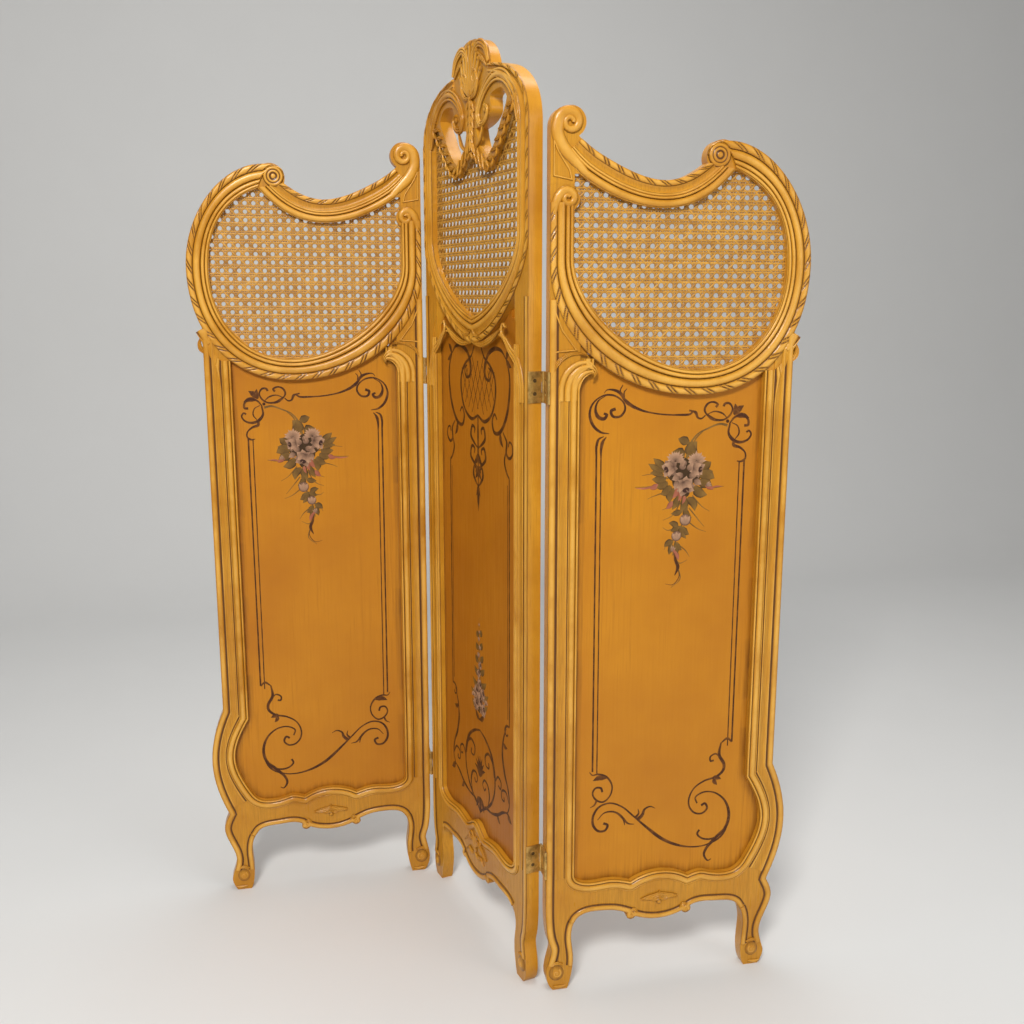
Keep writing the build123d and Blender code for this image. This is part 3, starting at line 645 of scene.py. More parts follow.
@dataclass
class SideLeaf:
    """A side leaf's carved wood, drawn with its hinge edge at u 0.

    Attributes:
        side: LEFT or RIGHT.
        place: where it stands.
        wood: the carved wood's material.
    """

    side: Side
    place: Place
    wood: bpy.types.Material
    rosette: tuple = (312.0, 1632.0)
    ornament: tuple = (238.0, 180.0)

    def node(self, name):
        """The full name of one of this leaf's CAD nodes."""
        return f"{self.side.value}_{name}"

    def finish(self, carving, name):
        """Builds a carving that stands for the CAD node of the same name."""
        return carving.build(self.node("carved_" + name), self.place, self.wood, Slot.WOOD, [self.node(name)])

    def ring(self):
        """The ring round the cane, with its twisted ribbon edge and small volute."""
        work = Carving()
        work.board(self.place, self.node("cane_ring"))
        sections = [(Path.line((0, 1545), (0, 1440)), Path.line((44, 1545), (44, 1450))),
                    (Path.quarter((0, 1440), (285, 1203), 0.55, True),
                     Path.quarter((44, 1450), (285, 1249), 0.45, True)),
                    (Path.quarter((285, 1203), (500, 1440), 0.6, False),
                     Path.quarter((285, 1249), (454, 1435), 0.58, False)),
                    (Path.quarter((500, 1440), (330, 1657), 0.52, True),
                     Path.bow((454, 1435), (454, 1540), (403, 1586), (345, 1608))),
                    (Path.through((330, 1657), (308, 1655), (293, 1646), (288, 1632)),
                     Path.through((345, 1608), (336, 1632), (322, 1649), (306, 1646), (299, 1632)))]
        work.between(sections, RING)
        roll = Path.through((7, 1524), (9, 1540), (15, 1556)) + Path.spiral((32, 1552), 16, 4, 165, -1.35)
        work.band(roll, (10, 16, 18, 16, 13, 10, 8), VOLUTE, lift=(0.4, -0.7, -1.1, -1.3, -1.3, -1.4))
        return self.finish(work, "cane_ring")

    def top_rail(self):
        """The hollow top rail that winds up into the great volute."""
        work = Carving()
        work.board(self.place, self.node("top_rail"))
        top = rim(self.place, self.node("top_rail"), (290, 1618), (52, 1656), (208, 1586))
        right = trimmed(top, lambda u, z: u >= 208)
        middle = trimmed(top, lambda u, z: 96 <= u <= 208)
        neck = trimmed(top, lambda u, z: 56 < u <= 96)
        sections = [
            (right, Path.bow((345, 1608), (305, 1562), (265, 1538.5), (208, 1538.5))),
            (middle, Path.bow((208, 1538.5), (148, 1538.5), (90, 1566), (52, 1594))),
            (neck, Path.through((52, 1594), (38, 1610), (26, 1626))),
        ]
        work.between(sections, RAIL, lift=(-0.3, 0, 0, 0, 0, 0))
        roll = Path.through((74, 1588), (44, 1616), (22, 1640), (12, 1662), (14.5, 1684))
        roll = roll + Path.spiral((35, 1680), 20.5, 5, 168, -1.5)
        work.band(roll, (4, 17, 22, 23, 23, 21, 18, 14, 11, 9), VOLUTE,
                  lift=(0.3, -0.9, -1.3, -1.5, -1.6, -1.6, -1.8))
        return self.finish(work, "top_rail")

    def boss(self):
        """The turned rosette between the top rail and the ring."""
        work = Carving()
        rings = (0.5, -1.6, -2.4, -2.2, -1.4, -2.5, -2.6, -1.9, -1.5, -2.9, -3.1, -3.0)
        # The rings are painted darker in their hollows as glazing and painted shade, and paler on their
        # crests as a painted highlight.
        tones = (0.8, 0.2, -0.2, 0.0, 0.9, -0.1, -0.2, 0.8, 0.9, -0.1, -0.2, -0.2)
        work.dome(self.rosette, 21.5, rings, tones, sides=44)
        return self.finish(work, "rosette")

    def lower_edge(self):
        """The lower edge from one foot to the other, over both legs and the bottom rail."""
        stile = rim(self.place, self.node("hinge_stile"), (46, 0), (58, 157), (57, 78))
        rail = rim(self.place, self.node("bottom_rail"), (58, 157), (418, 157), (238, 134))
        outer = rim(self.place, self.node("outer_stile"), (418, 157), (430, 0), (422, 60))
        return stile + rail + outer

    def panel_edge(self):
        """The edge of the painted panel, from the left of the ring round the bottom to its right."""
        return rim(self.place, self.node("panel_moulding"), (84, 1262), (418, 1245), (238, 239))

    def crown_line(self):
        """The middle of the ring along its bottom."""
        return Path.quarter((22, 1445), (285, 1226), 0.5, True) + Path.quarter((285, 1226), (477, 1437), 0.59,
                                                                               False)

    def hinge_stile(self):
        """The straight stile with its long mouldings, the corner fields, the leg and the foot."""
        work = Carving(STILE_REACH)
        name = self.node("hinge_stile")
        work.board(self.place, name, LOW_FLOOR)
        edge = rim(self.place, name, (0, 1430), (16, 0), (0, 600))
        work.along(trimmed(edge, lambda u, z: 55 < z < 1378), STILE_EDGE)
        panel = self.panel_edge()
        beside = trimmed(panel, lambda u, z: u < 59 and 246 < z < 1224)
        lower = Path.line((17.5, 1224), (17.5, 246))
        work.between([(beside.offset(-20), lower)], STILE_COVE)
        work.edging(self.lower_edge(), APRON_EDGE, lambda u, z: u < 59.5 and 50 < z < 159)
        arch = [(Path.through((17, 1196), (18, 1226), (28, 1250), (52, 1268), (76, 1268), (90, 1250),
                              (86, 1240)),
                 Path.through((57, 1196), (58, 1218), (64, 1234), (74, 1243), (82, 1244), (82, 1238),
                              (80, 1236)))]
        ribs = Profile(bead(11, -2.0, 0.9), bead(13, -2.3, 0.7), groove(0.8, 1.4), bead(11, -2.2, 0.7),
                       bead(4, -1.2, 1.0))
        work.between(arch, ribs, lift=(0.4, -0.1, -0.2, -0.2, 0))
        for corners in ([(6, 1366), (6, 1284), (50, 1288), (24, 1322), (6, 1366)],
                        [(6, 1648), (6, 1590), (38, 1584), (34, 1600), (14, 1630), (6, 1648)]):
            work.band(Path.line(*corners), (3.2, 3.2), TRIM)
        work.plate([(44, 1240), (76, 1238), (82, 1264), (60, 1306), (44, 1306)], 8, margin=0.02, floor=12)
        work.band(((4, 1240), (18, 1268), (42, 1282), (70, 1280)), (3, 8, 7, 2), LEAF,
                  lift=(-0.2, -0.8, -0.2))
        self.foot(work, (23, 38), 15.5, 1)
        return self.finish(work, "hinge_stile")

    def foot(self, work, centre, radius, way):
        """A scrolled toe with a rounded tread under it."""
        scrolled_toe(work, centre, radius, way)
        u = centre[0]
        work.band(((u - 6, 9), (u + 8, 6), (u + 19, 9)), (3, 9, 3), ROLL)

    def outer_stile(self):
        """The outer stile with its bombe swelling, knee, leg and foot."""
        work = Carving(STILE_REACH)
        name = self.node("outer_stile")
        work.board(self.place, name, LOW_FLOOR)
        edge = rim(self.place, name, (474, 1275), (462, 0), (504, 330))
        high = trimmed(edge, lambda u, z: z > 197)
        work.edging(edge, OUTER_EDGE, lambda u, z: z > 50, side=-1)
        panel = trimmed(self.panel_edge(), lambda u, z: u > 380 and z > 236)
        outside = trimmed(high.back(), lambda u, z: z > 204)
        side_cove = Profile(groove(2, 1.3), bead(3, -0.6, 0.6), cove(12, 1.2, -0.4), bead(3, -0.5, 0.5))
        work.between([(panel.offset(-20), outside.offset(16))], side_cove, scale=(0.6, 1, 1, 1, 1, 1))
        work.edging(self.lower_edge(), APRON_EDGE, lambda u, z: u > 416.5 and 48 < z < 159)
        work.band(((470, 1262), (479, 1274), (481, 1286), (478, 1296)), (4, 10, 8, 2), LEAF,
                  lift=(0.2, -0.6, 0.4), floor=9)
        self.foot(work, (446, 36), 14, -1)
        return self.finish(work, "outer_stile")

    def bottom_rail(self):
        """The bottom rail: its beaded serpentine edge, end scrolls and winged ornament."""
        work = Carving(STILE_REACH)
        work.board(self.place, self.node("bottom_rail"), LOW_FLOOR)
        edge = self.lower_edge()
        work.edging(edge, APRON_EDGE, lambda u, z: 57 < u < 171 and z > 133)
        work.edging(edge, APRON_EDGE, lambda u, z: 187 < u < 289)
        work.edging(edge, APRON_EDGE, lambda u, z: 305 < u < 419 and z > 133)
        for centre, way in (((179, 148), -1), ((297, 148), 1)):
            work.dome(centre, 9.5, (1.3, -0.6, -1.4, -1.7))
            work.band(Path.spiral(centre, 6, 1, 90, 1.1 * way), (4.5, 4, 2), ROLL, lift=(-1.1, -1.3))
            arm = Path.through((centre[0] + way * 4, 156), (centre[0] + way * -6, 160),
                               (centre[0] - way * 14, 152))
            work.band(arm, (3, 8, 3), LEAF, lift=(-0.2, -0.7, -0.2))
        return self.finish(work, "bottom_rail")

    def wings(self):
        """The winged ornament in the middle of the bottom rail."""
        work = Carving(ORNAMENT_REACH)
        u, z = self.ornament
        for way in (-1, 1):
            arm = Path.through((u, z + 9), (u + way * 12, z + 5), (u + way * 24, z + 3),
                               (u + way * 39, z + 1))
            work.band(arm, (8, 11, 9, 3), LEAF, lift=(-1.4, -1.9, -1.1))
            low = Path.through((u, z), (u + way * 9, z - 3), (u + way * 20, z + 1), (u + way * 37, z - 1))
            work.band(low, (5, 7, 6, 2), LEAF, lift=(-0.9, -1.4, -0.7))
        work.band(((u, z + 16), (u, z + 8), (u, z - 4)), (2, 9, 3), LEAF, lift=(-1.2, -2.0, -1.0))
        work.dome((u, z - 9), 5.5, (1.0, -1.0, -1.8, -2.0))
        return self.finish(work, "apron_ornament")

    def moulding(self):
        """The raised moulding round the painted panel."""
        work = Carving(MOULDING_REACH)
        work.along(self.panel_edge(), MOULDING, side=-1)
        return self.finish(work, "panel_moulding")

    def build(self):
        """Builds every carved piece of the leaf."""
        self.ring()
        self.top_rail()
        self.boss()
        self.hinge_stile()
        self.outer_stile()
        self.bottom_rail()
        self.wings()
        self.moulding()


FACE_PROFILE = Profile(bead(10, -2.2, 0.2, ribbon=True), groove(1.0, 1.8), cove(9, 1.6, -0.9),
                       bead(11, -2.2, 0.8), groove(1.2, 1.8), bead(6.5, -1.8, 0.8), bead(4.5, -1.4, 0.9))
SHOULDER = Profile(bead(6, -1.4, 1.0), groove(0.8, 1.6), bead(11, -2.2, 0.4), groove(0.8, 1.6),
                   bead(6, -1.6, 0.9))


@dataclass
class CentreLeaf:
    """The centre leaf's carved wood: shield surround, cresting, stiles, apron and their ornament.

    Attributes:
        place: where it stands.
        wood: the carved wood's material.
        width: the leaf's width, about whose middle it is symmetrical.
    """

    place: Place
    wood: bpy.types.Material
    width: float = CENTRE_WIDTH

    def finish(self, carving, name):
        """Builds a carving that stands for the CAD node of the same name."""
        return carving.build("centre_carved_" + name, self.place, self.wood, Slot.WOOD, ["centre_" + name])

    def both(self, path):
        """A path of the left half and its mirror image."""
        path = Path.of(path)
        return path, path.mirrored(self.width)

    def bands(self, work, path, widths, profile, **options):
        """Carves a band on both halves."""
        for line in self.both(path):
            work.band(line, widths, profile, **options)

    def domes(self, work, centre, *shape, **options):
        """Carves a boss on both halves."""
        for u in (centre[0], self.width - centre[0]):
            work.dome((u, centre[1]), *shape, **options)

    def surround(self):
        """The shield-shaped surround of the cane, down to its tip."""
        work = Carving()
        work.board(self.place, "centre_cane_surround")
        half = [(Path.line((0, 1680), (0, 1490)), Path.line((44, 1680), (44, 1500))),
                (Path.bow((0, 1490), (0, 1420), (150, 1291), (254, 1291)),
                 Path.bow((44, 1500), (44, 1440), (142, 1366), (254, 1342)))]
        other = [(a.mirrored(self.width).back(), b.mirrored(self.width).back()) for a, b in half[::-1]]
        work.between(half + other, FACE_PROFILE)
        leaf = Path.through((118, 1322), (160, 1302), (205, 1290), (248, 1292))
        self.bands(work, leaf, (3, 13, 12, 4), LEAF, lift=(-0.4, -1.8, -1.8, -0.6))
        tip = Path.through((200, 1312), (228, 1306), (250, 1318))
        self.bands(work, tip, (2, 8, 2), LEAF, lift=(-0.8, -2.0, -1.0))
        work.dome((self.width / 2, 1303), 9, (0.5, -1.8, -2.8, -3.0), squash=1.2)
        return self.finish(work, "cane_surround")

    def cresting(self):
        """The open cresting: shoulder mouldings, C-scrolls, a shell, a stem and leafy garlands."""
        work = Carving()
        work.board(self.place, "centre_cresting")
        middle = self.width / 2
        outer = rim(self.place, "centre_cresting", (0, 1672), (168, 1808), (50, 1770))
        outer = trimmed(outer, lambda u, z: z > 1672)
        inner = outer.offset([-44, -40, -34, -28, -22])
        for turned in (False, True):
            a, b = (p.mirrored(self.width) if turned else p for p in (outer, inner))
            work.between([(a, b)], FACE_PROFILE)
        scroll = Path.through((40, 1690), (58, 1738), (100, 1775), (150, 1781), (195, 1757), (216, 1726),
                              (205, 1706), (181, 1711), (171, 1729), (184, 1737))
        self.bands(work, scroll, (16, 22, 24, 24, 22, 18, 14, 10, 6), SHOULDER,
                   lift=(0.2, -0.5, -0.8, -1.0, -0.8, -0.6))
        back_scroll = Path.through((168, 1812), (182, 1838), (214, 1852), (240, 1836), (238, 1812),
                                   (220, 1808), (214, 1820))
        self.bands(work, back_scroll, (8, 15, 16, 14, 11, 8, 4), REEDS, lift=(-0.2, -0.9, -1.2, -0.8))
        leaf = Path.through((176, 1806), (196, 1822), (216, 1836))
        self.bands(work, leaf, (3, 10, 3), LEAF, lift=(-0.4, -1.2, -0.5))
        for number in range(-4, 5):
            angle = math.radians(number * 15.5)
            reach = 94 - 2.2 * abs(number)
            tip = (middle + reach * 0.66 * math.sin(angle), 1764 + reach * math.cos(angle))
            root = (middle + 9 * math.sin(angle), 1764)
            bend = (middle + reach * 0.46 * math.sin(angle), 1764 + reach * 0.55 * math.cos(angle))
            flute = Profile(bead(7, -1.2, 0.9))
            work.band((root, bend, tip), (4, 9, 13, 10), flute, lift=(-0.6, -1.2, -1.4, -0.4))
            work.dome(tip, 6.3, (1.0, -1.6, -2.6, -2.9))
        heart = Path.through((middle - 4, 1758), (middle - 26, 1764), (middle - 38, 1786),
                             (middle - 28, 1806), (middle - 14, 1800), (middle - 16, 1788))
        self.bands(work, heart, (6, 9, 10, 8, 6, 3), REEDS, lift=(-1.0, -2.0, -2.2, -1.6))
        for number in range(6):
            z = 1752 - number * 15
            size = 1 - number * 0.07
            chevron = Path.through((middle, z + 4), (middle - 11 * size, z - 4), (middle - 19 * size, z - 20))
            self.bands(work, chevron, (3, 9, 2), LEAF, lift=(-1.2, -1.8, -0.4))
        work.band(Path.line((middle, 1770), (middle, 1662)), (5, 6, 6, 3), ROLL, lift=(-1.6, -2.0, -1.0))
        work.dome((middle, 1768), 9, (0.2, -2.2, -3.2, -3.4))
        border = Path.through((44, 1742), (74, 1712), (108, 1677), (136, 1648), (160, 1626), (184, 1622),
                              (214, 1640), (middle - 4, 1660))
        even = border.even(12).points
        for index in range(11):
            a, b = even[index], even[index + 1]
            run = b - a
            left = np.array([-run[1], run[0]])
            sprig = Path.through(tuple(a - left * 0.1), tuple(a + run * 0.55 + left * 0.42),
                                 tuple(b + left * 0.72))
            self.bands(work, sprig, (3, 9, 2), LEAF, lift=(-0.6, -1.4, -0.2))
            low = Path.through(tuple(a), tuple(a + run * 0.5 - left * 0.25), tuple(b - left * 0.1))
            self.bands(work, low, (3, 8, 3), LEAF, lift=(-0.6, -1.2, -0.6))
        self.bands(work, ((196, 1700), (208, 1678), (226, 1664)), (3, 8, 3), LEAF, lift=(-0.4, -1.2, -0.4))
        self.domes(work, (184, 1728), 6, (0.6, -1.4, -2.0, -2.2))
        return self.finish(work, "cresting")

    def stile(self, name, flip):
        """One stile with its long mouldings and foot.

        Args:
            name: its CAD node's name without the leaf's.
            flip: whether it is the right one, drawn from the left one's numbers.

        Returns:
            The object.
        """
        work = Carving(STILE_REACH)
        node = f"centre_{name}"
        work.board(self.place, node, LOW_FLOOR)

        def turn(path):
            return path.mirrored(self.width) if flip else path

        def at(u):
            return self.width - u if flip else u

        way = 1 if flip else -1
        edge = rim(self.place, node, (at(0), 1400), (at(22), 0), (at(0), 600))
        work.along(trimmed(edge, lambda u, z: 55 < z < 1385), STILE_EDGE, side=-way)
        panel = trimmed(self.opening(), lambda u, z: 250 < z < 1226 and abs(u - at(STILE_WIDTH)) < 22)
        if panel.points[0][1] < panel.points[-1][1]:
            panel = panel.back()
        reeds = Path.line((at(REED_LINE), 1224), (at(REED_LINE), 250))
        work.between([(panel.offset(LIP * way), reeds)], STILE_COVE)
        arch = Path.through((28, 1190), (29, 1226), (44, 1262), (74, 1284), (102, 1306), (122, 1312))
        work.band(turn(arch), (24, 24, 22, 18, 12, 4), SHOULDER, lift=(0.3, 0, -0.2, -0.2, 0.2))
        curl = Path.through((96, 1300), (112, 1318), (106, 1332), (94, 1326))
        work.band(turn(curl), (8, 8, 6, 3), REEDS, lift=(-0.6, -1.0, -0.6))
        scrolled_toe(work, (at(22), 38), 15, -way)
        return self.finish(work, name)

    def opening(self):
        """The edge of the painted panel from the top left round the bottom to the top right."""
        return rim(self.place, "centre_panel_moulding", self.top_corner(False), self.top_corner(True),
                   (254, 250))

    def crown_line(self):
        """The middle of the shield's band along its bottom."""
        half = Path.bow((22, 1495), (22, 1430), (146, 1328), (254, 1316))
        return half + half.mirrored(self.width).back()

    def top_corner(self, right):
        """A point near a top corner of the panel's moulding."""
        return (self.width - 82, 1262) if right else (82, 1262)

    def apron(self):
        """The bottom rail with its beaded edge."""
        work = Carving(STILE_REACH)
        work.board(self.place, "centre_bottom_rail", LOW_FLOOR)
        edge = rim(self.place, "centre_bottom_rail", (58, 157), (self.width - 58, 157), (254, 118))
        work.along(edge, APRON_EDGE)
        return self.finish(work, "bottom_rail")

    def rocaille(self):
        """The shell and scrolls in the middle of the apron."""
        work = Carving(ORNAMENT_REACH)
        middle = self.width / 2
        arm = Path.through((middle, 192), (middle - 16, 200), (middle - 34, 194), (middle - 58, 178))
        self.bands(work, arm, (8, 11, 9, 2), LEAF, lift=(-0.6, -1.2, -0.4))
        arm = Path.through((middle, 172), (middle - 14, 166), (middle - 32, 170), (middle - 46, 160))
        self.bands(work, arm, (6, 9, 8, 2), LEAF, lift=(-0.6, -1.1, -0.4))
        curl = Path.through((middle - 6, 206), (middle - 20, 214), (middle - 30, 206), (middle - 24, 198))
        self.bands(work, curl, (4, 7, 6, 3), REEDS, lift=(-0.6, -1.0, -0.6))
        for number in range(-2, 3):
            angle = math.radians(number * 27)
            tip = (middle + 20 * math.sin(angle), 186 + 24 * math.cos(angle))
            work.band(Path.line((middle, 184), tip), (3, 8, 6), Profile(bead(7, -1.2, 0.9)),
                      lift=(-0.6, -1.0, -0.4))
        work.dome((middle, 180), 8, (1.0, -1.4, -2.2, -2.4))
        return self.finish(work, "apron_ornament")

    def moulding(self):
        """The raised moulding round the painted panel."""
        work = Carving(MOULDING_REACH)
        work.along(self.opening(), MOULDING, side=-1)
        return self.finish(work, "panel_moulding")

    def build(self):
        """Builds every carved piece of the leaf."""
        self.surround()
        self.cresting()
        self.stile("left_stile", False)
        self.stile("right_stile", True)
        self.apron()
        self.rocaille()
        self.moulding()


@dataclass
class CaneWeave:
    """A woven cane net: upright and level pairs of strands, and slanting strands between their crossings.

    Attributes:
        name: the net's name.
        place: the Place of its leaf.
        edge: the opening's edge as points (u, z).
        material: the cane's material.
        replaced: the CAD node it stands for.
        seed: sets the small differences from strand to strand.
    """

    name: str
    place: Place
    edge: np.ndarray
    material: bpy.types.Material
    replaced: str
    seed: int = 1
    across: float = 17.9
    up: float = 17.5
    gap: float = 2.5
    width: float = 4.0
    slant_width: float = 3.9
    thick: float = 1.1
    depth: float = 13.6
    wave: float = 0.9
    margin: float = 4.0
    span: float = 4.4

    def runs(self, start, way):
        """The stretches of a straight line that lie inside the opening, as distances from its start."""
        side = np.array([-way[1], way[0]])
        rel = self.edge - start
        off = rel @ side
        at = rel @ way
        cuts = []
        for i in range(len(off)):
            j = (i + 1) % len(off)
            if (off[i] < 0) != (off[j] < 0):
                share = off[i] / (off[i] - off[j])
                cuts.append(at[i] + share * (at[j] - at[i]))
        cuts.sort()
        return [(a - self.margin, b + self.margin) for a, b in zip(cuts[::2], cuts[1::2]) if b - a > 2]

    def strand(self, work, start, way, width, depth, wave, period, tone):
        """Adds one strand along a line, rising and falling with a period."""
        start = np.asarray(start, float)
        way = np.asarray(way, float) / np.linalg.norm(way)
        side = np.array([-way[1], way[0]])
        shape = ((-0.5, 0.1), (-0.3, -0.5), (0.0, -0.62), (0.3, -0.5), (0.5, 0.1), (0.0, 0.45), (-0.5, 0.1))
        for low, high in self.runs(start, way):
            at = np.linspace(low, high, max(3, int((high - low) / self.span)))
            lift = depth + wave * np.cos(2 * math.pi * at / period)
            rows = []
            for across, rise in shape:
                spot = start + at[:, None] * way + across * width * side
                rows.append(np.stack([spot[:, 0], lift + rise * self.thick, spot[:, 1]], 1))
            sheet = np.stack(rows, 1)
            ripple = tone + 0.12 * np.sin(at / 9.0 + tone * 40)
            # Across each strand: painted highlight on its front crest, painted shade on its sides and back.
            edge = np.array([0.9, 0.25, -0.1, 0.25, 0.9, 1.0, 0.9])
            work.grid(sheet, ripple[:, None] + edge[None, :] * 0.6)

    def build(self):
        """Builds the net."""
        dice = random.Random(self.seed)
        work = Carving()
        low, high = self.edge.min(0), self.edge.max(0)
        first_u = low[0] + (high[0] - low[0]) % self.across / 2
        first_z = low[1] + (high[1] - low[1]) % self.up / 2
        columns = int((high[0] - low[0]) / self.across) + 1
        rows = int((high[1] - low[1]) / self.up) + 1
        for i in range(columns):
            for shift in (-self.gap, self.gap):
                spot = (first_u + i * self.across + shift + dice.uniform(-0.3, 0.3), first_z)
                self.strand(work, spot, (0, 1), self.width, self.depth + 0.6, 0.15, self.up,
                            dice.uniform(0.3, 0.6))
        for j in range(rows):
            for shift in (-self.gap, self.gap):
                spot = (first_u, first_z + j * self.up + shift + dice.uniform(-0.3, 0.3))
                self.strand(work, spot, (1, 0), self.width, self.depth - 0.2, 0.25, self.across,
                            dice.uniform(-0.1, 0.35))
        slope = math.hypot(self.across, self.up)
        for k in range(-rows - 1, columns + rows + 1):
            spot = (first_u + (k + 0.5) * self.across, first_z)
            self.strand(work, spot, (self.across, self.up), self.slant_width, self.depth - 0.1, self.wave,
                        slope, dice.uniform(0, 0.45))
            self.strand(work, spot, (-self.across, self.up), self.slant_width, self.depth - 0.1, -self.wave,
                        slope, dice.uniform(0, 0.45))
        return work.build(self.name, self.place, self.material, Slot.CANE, [self.replaced], smooth=60)


def shaded_panel(side, place, edge, crown, material):
    """The painted panel, darker along its edges in patches, as dark glazing and as painted shade where the
    moulding stands over it.

    Args:
        side: the Side of its leaf.
        place: the Place of its leaf.
        edge: a Path along the opening.
        crown: a Path along the middle of the moulding that covers the panel's top.
        material: the panel's material.

    Returns:
        The object.
    """
    work = Carving()
    node = f"{side.value}_painted_panel"
    points, faces = place.node(node)
    work.solid(points, faces, 0.0)
    low, high = edge.points.min(0), edge.points.max(0)
    u, rise = np.meshgrid(np.linspace(low[0] + 1, high[0] - 1, 76), np.linspace(0, 1, 170))
    order = np.argsort(crown.points[:, 0])
    top = np.minimum(np.interp(u, crown.points[order, 0], crown.points[order, 1]), high[1] + 1)
    z = low[1] + 1 + rise * (top - low[1] - 1)
    spots = np.stack([u, z], -1)
    line = edge.even(420).points
    away = np.linalg.norm(spots[:, :, None] - line, axis=-1).min(-1)
    dice = np.random.default_rng(4)
    streak = np.repeat(dice.uniform(-1, 1, (1, 76)), 170, 0)
    patch = np.kron(dice.uniform(0, 1, (17, 19)), np.ones((10, 4)))
    # Darker within about 9 mm of the edge, in patches, as dark glazing and painted shade under the moulding;
    # faint streaks follow the grain.
    tone_and_shading = 0.62 * np.exp(-away / 9) * (0.55 + 0.45 * patch) + 0.05 * streak * np.exp(-away / 90) + 0.02
    inside = np.stack([u, np.full(u.shape, PANEL_FACE), z], -1)
    work.grid(inside, tone_and_shading)
    return work.build(f"{side.value}_shaded_panel", place, material, Slot.PANEL, [node])


class Brushwork(Carving):
    """Painted ornament laid on a panel's face as very thin coats."""

    def __init__(self, coat=0.1):
        super().__init__()
        self.coat = coat

    def stroke(self, path, widths, step=2.2):
        """Adds a brush line with widths at even shares of its length, each a little over the last."""
        self.coat += COAT_STEP
        coat = self.coat
        path = Path.of(path)
        even = path.even(max(4, int(path.length / step) + 1))
        half = np.asarray(widths, float) * BRUSH_FULLNESS
        a, b = even.offset(half).points, even.offset(-half).points
        shape = ((1.0, 0.05), (0.75, -coat), (0.25, -coat), (0.0, 0.05))
        sheet = np.stack([np.insert(a * t + b * (1 - t), 1, PANEL_FACE + d, axis=1) for t, d in shape], 1)
        tone = np.array([0.75, 0.1, 0.25, 1.0])[None, :] + 0.25 * np.sin(np.arange(len(sheet)) / 3.0)[:, None]
        self.grid(sheet, tone)

    def tear(self, root, tip, width, bend=0.0):
        """Adds a leaf or tongue from a root to a tip, bent to its left."""
        a, b = np.asarray(root, float), np.asarray(tip, float)
        side = np.array([-(b - a)[1], (b - a)[0]])
        middle = (a + b) / 2 + side * bend
        self.stroke((tuple(a), tuple(middle), tuple(b)), (width * 0.3, width, width * 0.8, 0.4))

    def petal(self, root, angle, length, width, coat, tones):
        """Adds a rounded petal with a paler rim and a darker heart."""
        t = np.linspace(0, 1, 9)
        s = np.linspace(-1, 1, 7)
        reach = t[:, None] * length * (1 - 0.10 * s[None, :] ** 2 * t[:, None] ** 3)
        spread = s[None, :] * width / 2 * np.sin(np.pi * np.clip(t, 0, 0.98) ** 0.75)[:, None] ** 0.7
        c, n = math.cos(math.radians(angle)), math.sin(math.radians(angle))
        u = root[0] + reach * c - spread * n
        z = root[1] + reach * n + spread * c
        depth = PANEL_FACE - coat + 0.25 * np.abs(s)[None, :] ** 3 + 0 * reach
        heart, rim_tone = tones
        shade = heart + (rim_tone - heart) * t[:, None] ** 0.7 + 0.10 * np.abs(s)[None, :]
        self.grid(np.stack([u, depth, z], -1), shade + 0 * reach)

    def disc(self, centre, radius, coat, tones, squash=1.0, turn=0.0):
        """Adds a round dab, its rim first in tones."""
        share = np.linspace(1, 0, 5)
        u, z = self.oval(centre, radius, share, 18, squash, turn)
        depth = PANEL_FACE - coat + 0.2 * share**2 + 0 * u
        self.grid(np.stack([u, depth, z], -1), np.interp(share, (0, 1), tones[::-1]) + 0 * u)

    def rose(self, centre, radius, turn, dice):
        """Adds a half-open rose that looks towards an angle: outer petals, a cup and a dark heart."""
        for i in range(8):
            angle = turn + 180 + (i - 3.5) * 41 + dice.uniform(-9, 9)
            tones = (1.4, dice.uniform(0.0, 0.5))
            self.petal(centre, angle, radius * dice.uniform(0.9, 1.15), radius * 0.85, 0.36 + 0.03 * i, tones)
        c, n = math.cos(math.radians(turn)), math.sin(math.radians(turn))
        root = (centre[0] - c * radius * 0.5, centre[1] - n * radius * 0.5)
        for lean, coat in ((-38, 0.64), (36, 0.68), (0, 0.72)):
            self.petal(root, turn + lean, radius * 1.12, radius * 0.8, coat, (0.95, 0.0))
        heart = (centre[0] + c * radius * 0.36, centre[1] + n * radius * 0.36)
        self.disc(heart, radius * 0.34, 0.9, (0.95, 1.4), 0.7, turn + 90)
        spot = (heart[0] - c * radius * 0.06, heart[1] - n * radius * 0.06)
        self.petal(spot, turn + 24, radius * 0.34, radius * 0.16, 0.98, (0.9, 0.4))

    def daisy(self, centre, radius, turn, dice):
        """Adds a small flower of narrow petals."""
        for i in range(11):
            angle = turn + 180 * i / 10 + dice.uniform(-4, 4)
            self.petal(centre, angle, radius * dice.uniform(0.9, 1.1), radius * 0.4, 0.33 + 0.01 * i,
                       (0.9, 0.0))

    def bud(self, centre, radius, angle, dice):
        """Adds a closed bud that hangs at an angle."""
        root = (centre[0] - radius * 0.8 * math.cos(math.radians(angle)),
                centre[1] - radius * 0.8 * math.sin(math.radians(angle)))
        for turn, breadth, coat in ((-24, 0.8, 0.35), (24, 0.8, 0.4), (0, 1.0, 0.6)):
            self.petal(root, angle + turn, radius * 1.7, radius * breadth, coat,
                       (0.75, 0.1 + dice.uniform(-0.05, 0.25)))

    def paint(self, name, place, material):
        """Builds the coats."""
        return self.build(name, place, material, Slot.PANEL, smooth=80)


